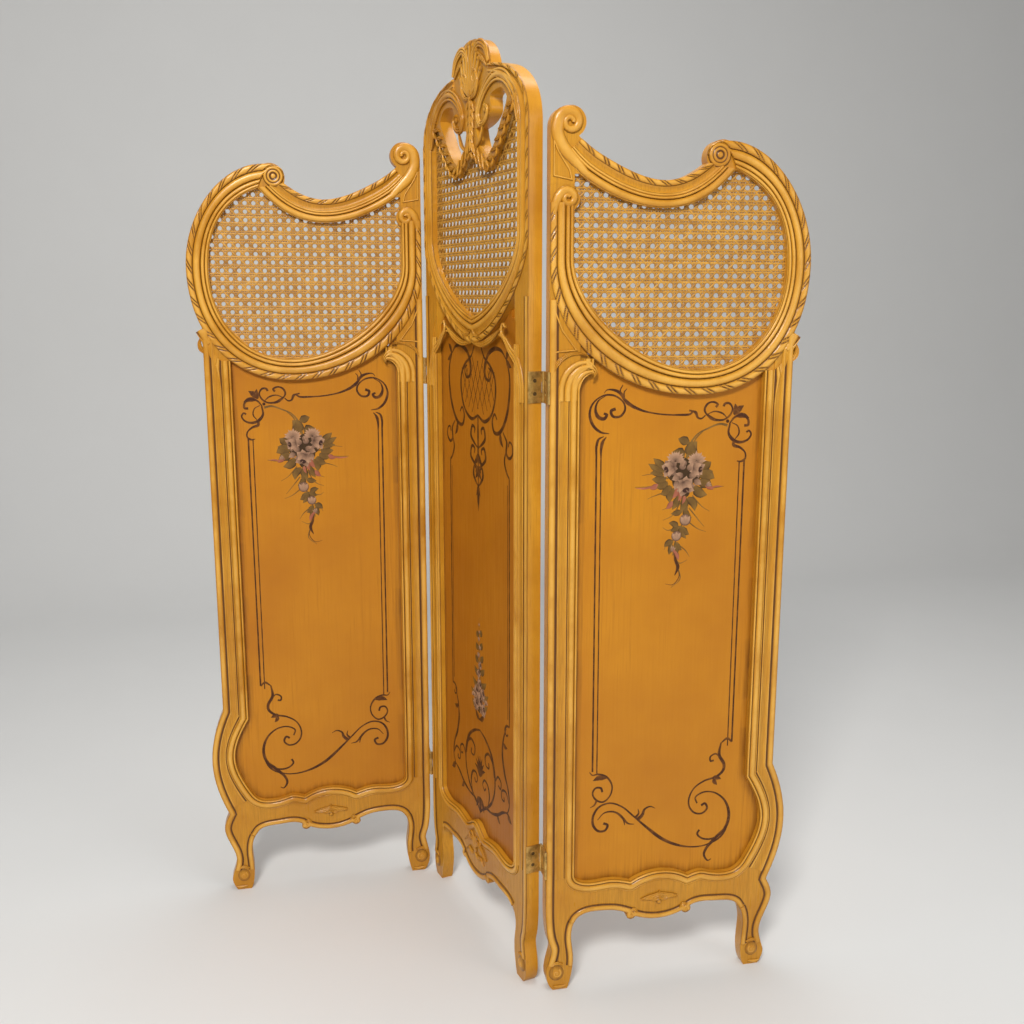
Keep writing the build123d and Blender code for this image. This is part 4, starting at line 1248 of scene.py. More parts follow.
# Side leaves: thin stems that spray out of the bouquet.
SPRAYS = (
    ((236, 1044), (212, 1054), (184, 1052)), ((226, 1034), (196, 1030), (170, 1030)),
    ((230, 1018), (204, 1010), (196, 1006)), ((296, 1042), (324, 1024), (350, 1026)),
    ((286, 1010), (306, 988), (322, 978)), ((250, 1004), (240, 990), (226, 984)),
    ((262, 996), (246, 972), (228, 964)), ((280, 986), (300, 962), (312, 948)),
    ((278, 960), (300, 944), (316, 938)), ((260, 950), (238, 944), (228, 950)),
    ((258, 926), (240, 920), (232, 906)), ((262, 914), (276, 902), (284, 890)),
    ((252, 896), (264, 878), (280, 884)), ((262, 868), (266, 846), (248, 830)),
)

# Side leaves: painted leaves, each its root, tip and width.
SIDE_LEAVES = (
    ((276, 1112), (254, 1120), 12), ((268, 1088), (244, 1096), 17), ((280, 1084), (292, 1114), 17),
    ((286, 1088), (282, 1116), 10), ((230, 1064), (206, 1084), 10), ((228, 1058), (196, 1074), 9),
    ((226, 1050), (200, 1056), 9), ((232, 1042), (204, 1044), 11), ((236, 1036), (210, 1030), 12),
    ((242, 1030), (222, 1014), 13), ((250, 1024), (240, 998), 12), ((302, 1064), (322, 1074), 12),
    ((304, 1056), (326, 1056), 12), ((300, 1048), (330, 1042), 15), ((296, 1036), (326, 1026), 14),
    ((290, 1028), (316, 1010), 13), ((268, 1008), (262, 978), 11), ((276, 1006), (292, 980), 11),
    ((258, 1010), (246, 984), 9), ((266, 980), (244, 976), 8), ((270, 986), (286, 966), 8),
    ((258, 948), (240, 958), 8), ((262, 950), (244, 942), 8), ((268, 950), (282, 934), 9),
    ((264, 952), (276, 926), 8), ((250, 922), (232, 912), 9), ((256, 920), (268, 904), 8),
    ((248, 916), (242, 896), 7), ((254, 914), (260, 896), 7),
)

# Side leaves: petals between the roses, each its root, angle, length and width.
LOOSE_PETALS = (
    ((268, 1066), 110, 16, 14), ((262, 1060), 70, 17, 13), ((276, 1058), 60, 17, 13),
    ((260, 1048), 200, 18, 13), ((266, 1046), 150, 17, 12), ((278, 1046), 20, 18, 13),
    ((256, 1040), 250, 19, 12), ((288, 1040), -30, 18, 13),
)

# Side leaves: pink buds and tips.
ACCENTS = (
    ((216, 1034), (200, 1026), 7), ((210, 1032), (172, 1028), 2.4), ((312, 1028), (328, 1020), 7),
    ((322, 1022), (346, 1026), 2.2), ((246, 1000), (234, 986), 7), ((256, 1026), (246, 1006), 8),
    ((262, 1022), (258, 1000), 7), ((250, 906), (262, 884), 6), ((270, 1010), (266, 994), 6),
)


@dataclass
class SidePanelPaint:
    """The painted scrollwork and hanging flowers of a side leaf."""

    side: Side
    place: Place
    finish: dict

    def lines(self):
        """The double frame line and its scrolls."""
        work = Brushwork()
        line = work.stroke
        line(Path.line((94, 1112), (96, 462)), (2.6, 2.2, 2.6))
        line(Path.line((103, 1104), (105, 458)), (1.8, 1.6, 1.8))
        line(Path.line((379, 1072), (379, 492)), (1.8, 1.6, 1.8))
        line(Path.line((389, 1076), (388, 500)), (2.6, 2.2, 2.6))
        line(((118, 1133), (102, 1136), (87, 1149), (80, 1171), (87, 1191), (107, 1204), (128, 1203),
              (145, 1190), (148, 1177), (139, 1165), (125, 1165), (121, 1175), (130, 1179)),
             (1.2, 3.6, 4, 2.6, 2, 2.6, 2.2, 3, 3.4, 4.2))
        line(((110, 1203), (96, 1194), (91, 1178), (97, 1164), (108, 1161), (113, 1168), (107, 1171)),
             (0.8, 1.8, 3, 5, 4.4, 3))
        line(((108, 1128), (98, 1123), (94, 1110), (94, 1090)), (1.0, 3.6, 3, 2.4))
        line(((113, 1127), (106, 1118), (103, 1104), (103, 1088)), (1.0, 4.6, 3, 1.8))
        line(((184, 1174), (161, 1184), (145, 1198), (138, 1212), (143, 1223)), (2, 4, 4.6, 2.6, 1))
        line(((148, 1194), (138, 1208), (125, 1214), (112, 1214), (107, 1208)), (1.4, 4.4, 3.6, 2, 0.8))
        line(((146, 1200), (146, 1210), (151, 1216)), (2, 2, 0.8))
        line(((150, 1191), (161, 1184), (184, 1174), (219, 1167), (255, 1165), (276, 1166), (281, 1171),
              (274, 1173)), (4.4, 3.6, 2.2, 2, 2.2, 3, 2.4))
        line(((279, 1172), (287, 1169), (292, 1159), (299, 1157), (307, 1163)), (1.6, 4.2, 3, 2, 1.6))
        line(((310, 1163), (305, 1174), (311, 1185), (322, 1188), (331, 1183), (327, 1178)),
             (1.8, 3, 3, 2.2, 2.8, 3.4))
        line(((308, 1166), (324, 1155), (344, 1154), (357, 1163), (361, 1175), (354, 1185), (345, 1184),
              (343, 1179)), (2.4, 4.6, 3, 2.4, 2.8, 2.2, 3, 3.4))
        line(((309, 1164), (325, 1170), (341, 1166), (351, 1157)), (1, 1.8, 2.4, 1))
        work.tear((364, 1163), (384, 1180), 9, 0.06)
        work.tear((364, 1165), (366, 1184), 7, -0.14)
        work.tear((368, 1160), (396, 1156), 7, 0.12)
        line(((356, 1146), (366, 1158), (380, 1162), (393, 1154), (394, 1143), (386, 1142)),
             (2, 2.8, 3.4, 2.8, 3.4, 3.6))
        line(((357, 1146), (355, 1128), (366, 1114), (381, 1110), (395, 1115), (401, 1125), (396, 1132),
              (391, 1129)), (2.4, 3, 4.4, 4, 2.8, 2.4, 2.8))
        line(((361, 1148), (373, 1141), (376, 1127), (368, 1116)), (1, 1.8, 2.2, 1))
        work.disc((352, 1151), 3.4, 0.4, (0, 0))
        line(((366, 1113), (366, 1105), (379, 1100), (390, 1090), (391, 1079), (383, 1073), (374, 1074)),
             (3.4, 4.4, 3, 2, 2.4, 3, 1.2))
        line(((90, 462), (96, 455), (108, 456), (126, 448), (137, 428), (133, 408), (119, 396), (104, 402),
              (97, 416), (103, 427), (114, 426), (117, 417)),
             (1.2, 2.4, 3, 2.8, 2, 2.2, 2.6, 2.6, 2.4, 2.8, 3))
        work.tear((126, 447), (97, 443), 8, -0.12)
        line(((106, 402), (101, 391), (92, 386)), (3, 2.6, 0.8))
        line(((318, 373), (314, 386), (332, 396), (356, 392), (378, 373), (388, 345), (385, 320), (371, 300),
              (353, 291), (332, 294), (321, 305), (325, 314)),
             (2.4, 2.4, 2.2, 2.4, 3.4, 4.2, 4.6, 3.6, 2.8, 2.6, 3.2))
        line(((387, 340), (384, 316), (372, 294), (345, 280), (317, 277), (282, 284), (246, 302), (211, 332),
              (182, 360), (158, 382), (133, 392), (111, 386), (99, 368), (99, 348), (110, 334), (124, 334),
              (129, 345), (120, 350)), (2, 3.6, 3, 2, 2.2, 3.6, 4.4, 4.4, 3, 2.4, 2.2, 2.4, 3, 3.6, 3.2, 3.4))
        line(((380, 312), (360, 291), (343, 273), (337, 257), (346, 243), (353, 246)),
             (1.4, 4.4, 4.6, 4, 3, 1.4))
        line(((365, 500), (362, 474), (373, 453), (372, 440), (359, 428), (331, 420), (310, 406), (300, 384),
              (302, 366), (314, 352), (330, 350), (340, 360), (335, 371), (327, 367)),
             (2, 4.2, 4.6, 3.8, 3, 2.4, 2.2, 2.4, 2.6, 2.6, 3, 3.4))
        line(((388, 500), (378, 508), (366, 500)), (2.4, 3.4, 1.8))
        line(((364, 468), (354, 477), (343, 471), (344, 462), (351, 463)), (1.4, 2.4, 2.4, 2.8))
        work.tear((348, 424), (368, 421), 7, 0.12)
        work.tear((352, 424), (360, 409), 6, -0.12)
        line(((192, 350), (202, 360), (206, 371), (218, 376), (229, 371)), (5.5, 4.6, 3, 2, 0.8))
        line(((186, 354), (194, 364), (192, 374)), (4, 2.6, 0.8))
        line(((108, 358), (122, 372), (143, 372), (161, 356), (165, 341)), (1, 2, 2.6, 3.4, 1))
        line(((161, 357), (172, 344), (185, 341)), (3, 2.6, 0.8))
        return work.paint(f"{self.side.value}_scroll_paint", self.place, self.finish["line"])

    def flowers(self):
        """The hanging cluster of roses, its leaves, stems and buds."""
        dice = random.Random(11)
        stems = Brushwork()
        stems.stroke(((352, 1143), (337, 1146), (313, 1138), (293, 1128), (279, 1110), (272, 1082)),
                     (3.4, 2.2, 1.8, 2.6, 3.2))
        stems.stroke(((305, 1134), (290, 1120), (280, 1098)), (0.6, 1.8, 1.6))
        stems.stroke(((272, 1010), (276, 980), (262, 942), (252, 912), (250, 894)), (2.6, 2.2, 1.8, 1.6))
        for points in SPRAYS:
            stems.stroke(Path.through(*points), (1.5, 1.2, 0.5))
        stems.paint(f"{self.side.value}_stem_paint", self.place, self.finish["leafpaint"])
        leaves = Brushwork(0.18)
        for centre, radius in (((252, 1058), 22), ((284, 1054), 22), ((266, 1040), 24), ((264, 1068), 18),
                               ((268, 1018), 14)):
            leaves.disc(centre, radius, 0.17, (0.9, 1.1))
        for root, tip, width in SIDE_LEAVES:
            leaves.tear(root, tip, width, dice.uniform(-0.18, 0.18))
        leaves.paint(f"{self.side.value}_leaf_paint", self.place, self.finish["leafpaint"])
        work = Brushwork()
        work.daisy((250, 1078), 19, -8, dice)
        work.daisy((292, 1076), 19, 4, dice)
        for root, angle, length, width in LOOSE_PETALS:
            work.petal(root, angle, length, width, 0.56, (0.9, 0.2))
        work.rose((238, 1064), 18, 200, dice)
        work.rose((294, 1061), 17, -10, dice)
        work.rose((270, 1028), 20, -70, dice)
        for centre, radius in (((273, 963), 11.5), ((256, 932), 10)):
            work.disc(centre, radius, 0.5, (0.85, 0.1))
            for angle in (60, 90, 120):
                root = (centre[0], centre[1] - radius * 0.8)
                work.petal(root, angle, radius * 1.7, radius * 0.8, 0.72, (0.6, 0.12))
        work.bud((249, 907), 7, 60, dice)
        work.bud((318, 1030), 7, 30, dice)
        work.paint(f"{self.side.value}_flower_paint", self.place, self.finish["petal"])
        accents = Brushwork(0.3)
        for root, tip, width in ACCENTS:
            accents.tear(root, tip, width, 0.08)
        accents.paint(f"{self.side.value}_accent_paint", self.place, self.finish["accent"])
        tails = Brushwork(0.32)
        tails.stroke(((252, 900), (256, 884), (261, 870), (255, 854)), (1.2, 4, 4.4, 1))
        tails.stroke(((259, 872), (264, 852), (252, 836), (236, 838)), (0.6, 1, 0.9, 0.4))
        tails.paint(f"{self.side.value}_tail_paint", self.place, self.finish["line"])

    def build(self):
        """Paints the panel."""
        self.lines()
        self.flowers()


# Centre leaf: roses and buds, each its middle and radius.
CENTRE_ROSES = (
    ((236, 512), 16), ((272, 510), 17), ((254, 526), 19), ((238, 542), 15), ((270, 544), 15),
    ((254, 562), 14), ((250, 586), 11), ((258, 606), 10),
)
CENTRE_BUDS = (
    ((250, 628), 8), ((257, 646), 7), ((252, 664), 6), ((255, 680), 5), ((254, 696), 4),
)


@dataclass
class CentrePanelPaint:
    """The painted trellis, scrolls and flowers of the centre leaf."""

    place: Place
    finish: dict
    width: float = CENTRE_WIDTH

    def both(self, work, path, widths):
        """Paints a line and its mirror image."""
        path = Path.of(path)
        work.stroke(path, widths)
        work.stroke(path.mirrored(self.width), widths)

    def tears(self, work, root, tip, width, bend=0.0):
        """Paints a leaf and its mirror image."""
        work.tear(root, tip, width, bend)
        work.tear((self.width - root[0], root[1]), (self.width - tip[0], tip[1]), width, -bend)

    def lines(self):
        """The frame lines, trellis cartouche and scrolls."""
        work = Brushwork()
        both, middle = self.both, self.width / 2
        both(work, Path.line((104, 1034), (104, 520)), (3.2, 3.2))
        both(work, Path.line((112, 1020), (112, 534)), (1.6, 1.6))
        both(work, ((118, 1264), (140, 1280), (174, 1282), (204, 1268), (219, 1244), (212, 1222), (194, 1220),
                    (188, 1236), (200, 1244)), (2, 5, 6.5, 6.5, 5.5, 4, 2.6))
        both(work, ((118, 1264), (104, 1236), (103, 1200), (118, 1152), (148, 1120), (174, 1118), (183, 1138),
                    (172, 1154), (160, 1144)), (2, 4.5, 6, 6.5, 6, 4.6, 2.6))
        both(work, ((237, 1284), (222, 1264), (190, 1246), (170, 1222), (168, 1190), (186, 1152), (222, 1134),
                    (middle, 1144)), (3, 4, 5, 5, 4.5, 5.5, 3.5))
        both(work, ((133, 1122), (116, 1104), (118, 1082), (104, 1074), (90, 1084), (92, 1102), (104, 1106),
                    (108, 1096)), (2, 5, 4.6, 4, 3.4, 2.4))
        both(work, ((116, 1092), (126, 1066), (116, 1044), (104, 1034)), (1.4, 4, 4.4, 3.2))
        for index in range(-3, 4):
            a, b = middle + index * 22, 1206
            reach = 58 - abs(index) * 9
            work.stroke(Path.line((a - reach * 0.5, b - reach), (a + reach * 0.5, b + reach)), (1.5, 1.5))
            work.stroke(Path.line((a + reach * 0.5, b - reach), (a - reach * 0.5, b + reach)), (1.5, 1.5))
        work.stroke(Path.line((middle, 1140), (middle, 956)), (4, 5, 4, 3, 1.2))
        for foot, reach, rise in ((1100, 36, 20), (1058, 38, 20), (1020, 24, 16)):
            both(work, ((middle, foot - 24), (middle - reach * 0.55, foot - 14), (middle - reach, foot),
                        (middle - reach * 0.8, foot + rise), (middle - reach * 0.45, foot + rise * 0.8),
                        (middle - reach * 0.5, foot + rise * 0.3)), (2, 4.5, 5.5, 4.5, 2.8))
        self.tears(work, (middle, 1066), (middle - 22, 1042), 9, 0.14)
        self.tears(work, (middle, 1040), (middle - 14, 1012), 9, 0.1)
        self.tears(work, (middle, 1000), (middle - 10, 976), 7, 0.1)
        self.tears(work, (118, 1264), (94, 1250), 8, 0.1)
        self.tears(work, (118, 1264), (100, 1284), 8, -0.1)
        self.tears(work, (146, 1120), (132, 1092), 8, 0.14)
        work.tear((middle, 1000), (middle, 944), 8)
        both(work, ((104, 520), (118, 518), (126, 506), (118, 496), (110, 502)), (3, 4, 3.4, 2.6, 3))
        both(work, ((120, 512), (134, 480), (138, 446), (127, 408), (110, 378), (105, 346), (116, 322)),
             (2.4, 3.4, 5, 5.4, 4.4, 3, 2))
        both(work, ((106, 350), (122, 370), (142, 364), (141, 347), (130, 346), (131, 355)),
             (2, 3.4, 3.4, 2.6, 3))
        both(work, ((110, 328), (136, 318), (164, 300), (196, 290), (226, 288), (middle, 266)),
             (2, 4.4, 5, 3.4, 4.6, 2.6))
        both(work, ((middle, 458), (226, 448), (196, 426), (178, 392), (177, 350), (192, 316), (220, 290),
                    (250, 272)), (2.6, 4.6, 5.4, 4.2, 3.4, 4.6, 4.4, 2.4))
        both(work, ((180, 378), (188, 408), (208, 420), (226, 408), (222, 388), (207, 388), (208, 400)),
             (2, 3.6, 4.6, 3.6, 2.6, 3.2))
        both(work, ((213, 296), (205, 322), (214, 346), (232, 350), (240, 336), (230, 327), (224, 335)),
             (2, 3.6, 4.4, 3.4, 2.4, 3))
        both(work, ((178, 366), (160, 388), (145, 380), (149, 365), (159, 369)), (2, 3.6, 3, 2.8))
        self.tears(work, (134, 474), (114, 470), 7, 0.14)
        self.tears(work, (112, 326), (94, 310), 9, 0.1)
        self.tears(work, (164, 300), (150, 284), 7, 0.1)
        for number in range(-3, 4):
            angle = math.radians(number * 22)
            tip = (middle + 30 * math.sin(angle), 352 + 46 * math.cos(angle))
            work.tear((middle + 3 * math.sin(angle), 350), tip, 6, 0.05 * number)
        self.tears(work, (middle, 300), (middle - 20, 272), 9, -0.1)
        work.tear((middle, 300), (middle, 262), 9)
        self.tears(work, (middle, 482), (middle - 22, 500), 8, 0.12)
        return work.paint("centre_scroll_paint", self.place, self.finish["line"])

    def flowers(self):
        """The upright cluster of roses over the lower scrolls."""
        dice = random.Random(23)
        middle = self.width / 2
        leaves = Brushwork()
        for height, radius in ((516, 24), (540, 22), (564, 15), (590, 11)):
            leaves.disc((middle, height), radius, 0.12, (0.9, 1.1))
        leaves.stroke(((middle, 500), (middle + 3, 580), (middle - 2, 640), (middle, 712)), (3, 2.4, 2, 0.8))
        for height, reach in ((505, 42), (530, 46), (556, 36), (584, 26), (612, 20), (640, 15), (668, 11)):
            leaves.tear((middle - 4, height), (middle - reach, height + 14), 10, 0.12)
            leaves.tear((middle + 4, height + 5), (middle + reach, height + 20), 10, -0.12)
        leaves.paint("centre_leaf_paint", self.place, self.finish["leafpaint"])
        work = Brushwork()
        for centre, radius in CENTRE_ROSES:
            work.rose(centre, radius, dice.uniform(0, 60), dice)
        work.daisy((222, 528), 10, 0, dice)
        work.daisy((288, 528), 10, 20, dice)
        for spot, size in CENTRE_BUDS:
            work.bud(spot, size, 90 + dice.uniform(-14, 14), dice)
        work.paint("centre_flower_paint", self.place, self.finish["petal"])

    def build(self):
        """Paints the panel."""
        self.lines()
        self.flowers()


def side_cane_edge():
    """The edge of a side leaf's cane opening."""
    stretches = (Path.line((44, 1512), (44, 1450)), Path.quarter((44, 1450), (285, 1249), 0.45, True),
                 Path.quarter((285, 1249), (454, 1435), 0.58, False),
                 Path.bow((454, 1435), (454, 1540), (403, 1586), (345, 1608)),
                 Path.bow((345, 1608), (305, 1562), (265, 1538.5), (208, 1538.5)),
                 Path.bow((208, 1538.5), (148, 1538.5), (90, 1566), (52, 1594)),
                 Path.line((52, 1594), (42, 1604), (42, 1512)))
    return np.vstack([s.points[:-1] for s in stretches])


def centre_cane_edge():
    """The edge of the centre leaf's cane opening."""
    half = (Path.through((254, 1664), (180, 1617), (136, 1646), (44, 1738)),
            Path.line((44, 1738), (44, 1500)), Path.bow((44, 1500), (44, 1440), (142, 1366), (254, 1342)))
    left = np.vstack([s.points[:-1] for s in half])
    right = left[::-1].copy()
    right[:, 0] = CENTRE_WIDTH - right[:, 0]
    return np.vstack([left, (254, 1342), right[:-1]])


class Value:
    """A number or vector in a material's nodes, with the usual arithmetic."""

    def __init__(self, shade, socket):
        self.shade = shade
        self.socket = socket

    def _math(self, operation, *values, clamp=False):
        return self.shade.node("ShaderNodeMath", {"operation": operation, "use_clamp": clamp},
                               dict(enumerate(values)))

    def __add__(self, other):
        return self._math("ADD", self, other)

    def __sub__(self, other):
        return self._math("SUBTRACT", self, other)

    def __mul__(self, other):
        return self._math("MULTIPLY", self, other)

    def __truediv__(self, other):
        return self._math("DIVIDE", self, other)

    def __rsub__(self, other):
        return self._math("SUBTRACT", other, self)

    __radd__ = __add__
    __rmul__ = __mul__

    def held(self):
        """The value kept between 0 and 1."""
        return self._math("ADD", self, 0.0, clamp=True)

    def span(self, low, high, first=0.0, last=1.0):
        """The value between low and high spread over first to last."""
        return self.shade.node("ShaderNodeMapRange", {"clamp": True},
                               {"Value": self, "From Min": low, "From Max": high, "To Min": first,
                                "To Max": last})


class Shade:
    """A procedural material in the making."""

    def __init__(self, name):
        self.material = bpy.data.materials.new(name)
        self.material.use_nodes = True
        self.tree = self.material.node_tree
        self.surface = self.tree.nodes["Principled BSDF"]

    def node(self, kind, settings=None, inputs=None, output=0):
        """Makes a node and returns one of its outputs as a Value."""
        made = self.tree.nodes.new(kind)
        for key, value in (settings or {}).items():
            setattr(made, key, value)
        for key, value in (inputs or {}).items():
            self.feed(made.inputs[key], value)
        return Value(self, made.outputs[output])

    def feed(self, socket, value):
        """Links a Value to a socket, or sets a constant on it."""
        if isinstance(value, Value):
            self.tree.links.new(value.socket, socket)
        elif isinstance(value, tuple) and len(value) == 3 and len(socket.default_value) == 4:
            socket.default_value = (*value, 1.0)
        else:
            socket.default_value = value

    def place(self, scale=(1.0, 1.0, 1.0)):
        """Object coordinates, stretched by a scale along each axis."""
        spot = self.node("ShaderNodeTexCoord", output="Object")
        return self.node("ShaderNodeMapping", None, {"Vector": spot, "Scale": scale})

    def noise(self, vector, scale, detail=3.0, roughness=0.55, distortion=0.0):
        """Noise from 0 to 1."""
        return self.node("ShaderNodeTexNoise", None, {"Vector": vector, "Scale": scale, "Detail": detail,
                                                      "Roughness": roughness, "Distortion": distortion})

    def attribute(self, name):
        """A number painted on the mesh."""
        return self.node("ShaderNodeAttribute", {"attribute_name": name}, output="Fac")

    def blend(self, share, first, second):
        """A colour between two, by a share."""
        return self.node("ShaderNodeMix", {"data_type": "RGBA"}, {0: share, 6: first, 7: second}, output=2)

    def done(self, colour, roughness, height=None, strength=0.3, distance=0.001, **constants):
        """Feeds the surface and returns the material.

        Args:
            colour: a Value or (r, g, b).
            roughness: a Value or a number.
            height: a Value for the bump, or None.
            strength: how strong the bump is.
            distance: its height in metres.
            constants: other inputs of the surface, with spaces as underscores.
        """
        self.feed(self.surface.inputs["Base Color"], colour)
        self.feed(self.surface.inputs["Roughness"], roughness)
        for key, value in constants.items():
            self.surface.inputs[key.replace("_", " ")].default_value = value
        if height is not None:
            bump = self.node("ShaderNodeBump", None,
                             {"Strength": strength, "Distance": distance, "Height": height})
            self.feed(self.surface.inputs["Normal"], bump)
        return self.material


@dataclass(frozen=True)
class GlazedWood:
    """Honey-gold wood, painted brown in its hollows as dark glazing and painted shade, and paler on its
    crests as worn finish and a painted highlight.
    """

    name: str
    light: tuple = (0.66, 0.315, 0.026)
    deep: tuple = (0.45, 0.180, 0.010)
    brown: tuple = (0.085, 0.026, 0.004)
    # The pale colour of the crests: partly worn finish, partly a painted highlight.
    rubbed_and_highlight: tuple = (0.86, 0.50, 0.115)
    grain: tuple = (55.0, 55.0, 3.0)
    mottle: float = 7.0
    roughness: float = 0.31
    shine: float = 0.14

    def material(self):
        """Makes the material."""
        s = Shade(self.name)
        cloud = s.noise(s.place(), self.mottle, 4, 0.6)
        fibres = s.noise(s.place(self.grain), 6.0, 5, 0.6, 0.4)
        specks = s.noise(s.place(), 900, 2, 0.7)
        tone_and_shading = s.attribute("tone_and_shading")
        base = s.blend(cloud.span(0.3, 0.72), self.deep, self.light)
        base = s.blend(fibres.span(0.42, 0.75, 0, 0.36), base, self.deep)
        # Crests below 0 are painted paler in patches: partly worn finish, partly a painted highlight.
        base = s.blend(tone_and_shading.span(0, -0.25, 0, 0.55) * cloud.span(0.35, 0.6), base, self.rubbed_and_highlight)
        # Hollows are painted brown, partly as dark glazing and partly as painted shade, broken up by grain
        # and mottle.
        dark = (tone_and_shading + (fibres - 0.5) * 0.5 + (cloud - 0.5) * 0.5).span(0.09, 0.74, 0, 0.96)
        base = s.blend(dark, base, self.brown)
        base = s.blend(specks.span(0.68, 0.76, 0, 0.6), base, self.brown)
        rough = fibres.span(0.3, 0.8, self.roughness - 0.06, self.roughness + 0.14) + dark * 0.12
        return s.done(base, rough, fibres + specks * 0.3, 0.16, 0.0004, Coat_Weight=self.shine,
                      Coat_Roughness=0.2, Specular_IOR_Level=0.3)


@dataclass(frozen=True)
class CaneFinish:
    """Split cane with a glossy bark, paler and darker strand by strand, each strand painted paler on its
    front as a highlight and darker on its sides and back as shade.
    """

    name: str
    pale: tuple = (0.66, 0.345, 0.055)
    dark: tuple = (0.20, 0.070, 0.008)

    def material(self):
        """Makes the material."""
        s = Shade(self.name)
        tone = s.attribute("tone_and_shading")
        cloud = s.noise(s.place(), 30, 3)
        fibre = s.noise(s.place((1, 1, 1)), 1400, 2, 0.7)
        # The tone holds each strand's own tone with its painted highlight and painted shade.
        base = s.blend(tone.held(), self.pale, self.dark)
        base = s.blend(cloud.span(0.4, 0.8, 0, 0.4), base, self.dark)
        base = s.blend(fibre.span(0.5, 0.8, 0, 0.35), base, self.dark)
        return s.done(base, fibre.span(0.3, 0.8, 0.32, 0.55), fibre, 0.2, 0.0003, Specular_IOR_Level=0.35)


@dataclass(frozen=True)
class Brass:
    """Aged brass with brown tarnish."""

    name: str
    bright: tuple = (0.78, 0.52, 0.17)
    brown: tuple = (0.26, 0.14, 0.04)
    roughness: float = 0.34

    def material(self):
        """Makes the material."""
        s = Shade(self.name)
        cloud = s.noise(s.place(), 60, 4, 0.65)
        scratch = s.noise(s.place((1, 1, 14)), 260, 3, 0.6)
        base = s.blend(cloud.span(0.4, 0.68, 0.05, 0.85), self.bright, self.brown)
        rough = cloud.span(0.3, 0.7, self.roughness, self.roughness + 0.25)
        return s.done(base, rough, scratch, 0.15, 0.0002, Metallic=1.0)


@dataclass(frozen=True)
class Paint:
    """A thin coat of painted ornament, worn so that the wood shows through in places."""

    name: str
    colour: tuple
    second: tuple
    roughness: float = 0.5

    def material(self):
        """Makes the material."""
        s = Shade(self.name)
        cloud = s.noise(s.place(), 70, 3, 0.6)
        wear = s.noise(s.place(), 420, 2, 0.7)
        tone = s.attribute("tone_and_shading")
        base = s.blend((tone * 0.8 + (cloud - 0.5) * 1.2).span(0.1, 0.9), self.colour, self.second)
        base = s.blend(wear.span(0.6, 0.78, 0, 0.6), base, (0.40, 0.20, 0.05))
        return s.done(base, self.roughness, wear, 0.1, 0.0002, Specular_IOR_Level=0.25)


@dataclass(frozen=True)
class FlowerPaint:
    """Brushed petals or leaves, paler at the rim and darker at the heart."""

    name: str
    pale: tuple = (0.53, 0.305, 0.180)
    dark: tuple = (0.045, 0.016, 0.010)

    def material(self):
        """Makes the material."""
        s = Shade(self.name)
        tone = s.attribute("tone_and_shading")
        brush = s.noise(s.place(), 260, 3, 0.6)
        base = s.blend((tone + (brush - 0.5) * 0.4).held(), self.pale, self.dark)
        return s.done(base, 0.55, brush, 0.15, 0.0002, Specular_IOR_Level=0.25)


def finishes():
    """Every material by its short name."""
    return {
        "wood": GlazedWood("honey_wood").material(),
        "panel": GlazedWood("panel_wood", (0.58, 0.235, 0.008), (0.45, 0.160, 0.005), grain=(38.0, 38.0, 1.2),
                            mottle=3.2, roughness=0.42, shine=0.05).material(),
        # The centre panel is a darker copy of the panel wood: painted shade for the turned centre leaf.
        "centre": GlazedWood("centre_panel_wood", (0.47, 0.170, 0.007), (0.36, 0.115, 0.004),
                             grain=(38.0, 38.0, 1.2), mottle=3.2, roughness=0.42, shine=0.05).material(),
        "cane": CaneFinish("split_cane").material(),
        "reed": CaneFinish("reed", (0.60, 0.34, 0.09)).material(),
        "brass": Brass("aged_brass").material(),
        "screw": Brass("dark_screw", (0.22, 0.15, 0.07), (0.04, 0.026, 0.014), 0.45).material(),
        "steel": Brass("steel_pin", (0.30, 0.28, 0.25), (0.09, 0.08, 0.07), 0.35).material(),
        "petal": FlowerPaint("petal_paint").material(),
        "leafpaint": FlowerPaint("leaf_paint", (0.22, 0.115, 0.024), (0.045, 0.022, 0.007)).material(),
        "accent": FlowerPaint("accent_paint", (0.44, 0.14, 0.075), (0.20, 0.055, 0.03)).material(),
        "line": Paint("brown_line", (0.058, 0.017, 0.004), (0.23, 0.078, 0.008)).material(),
    }


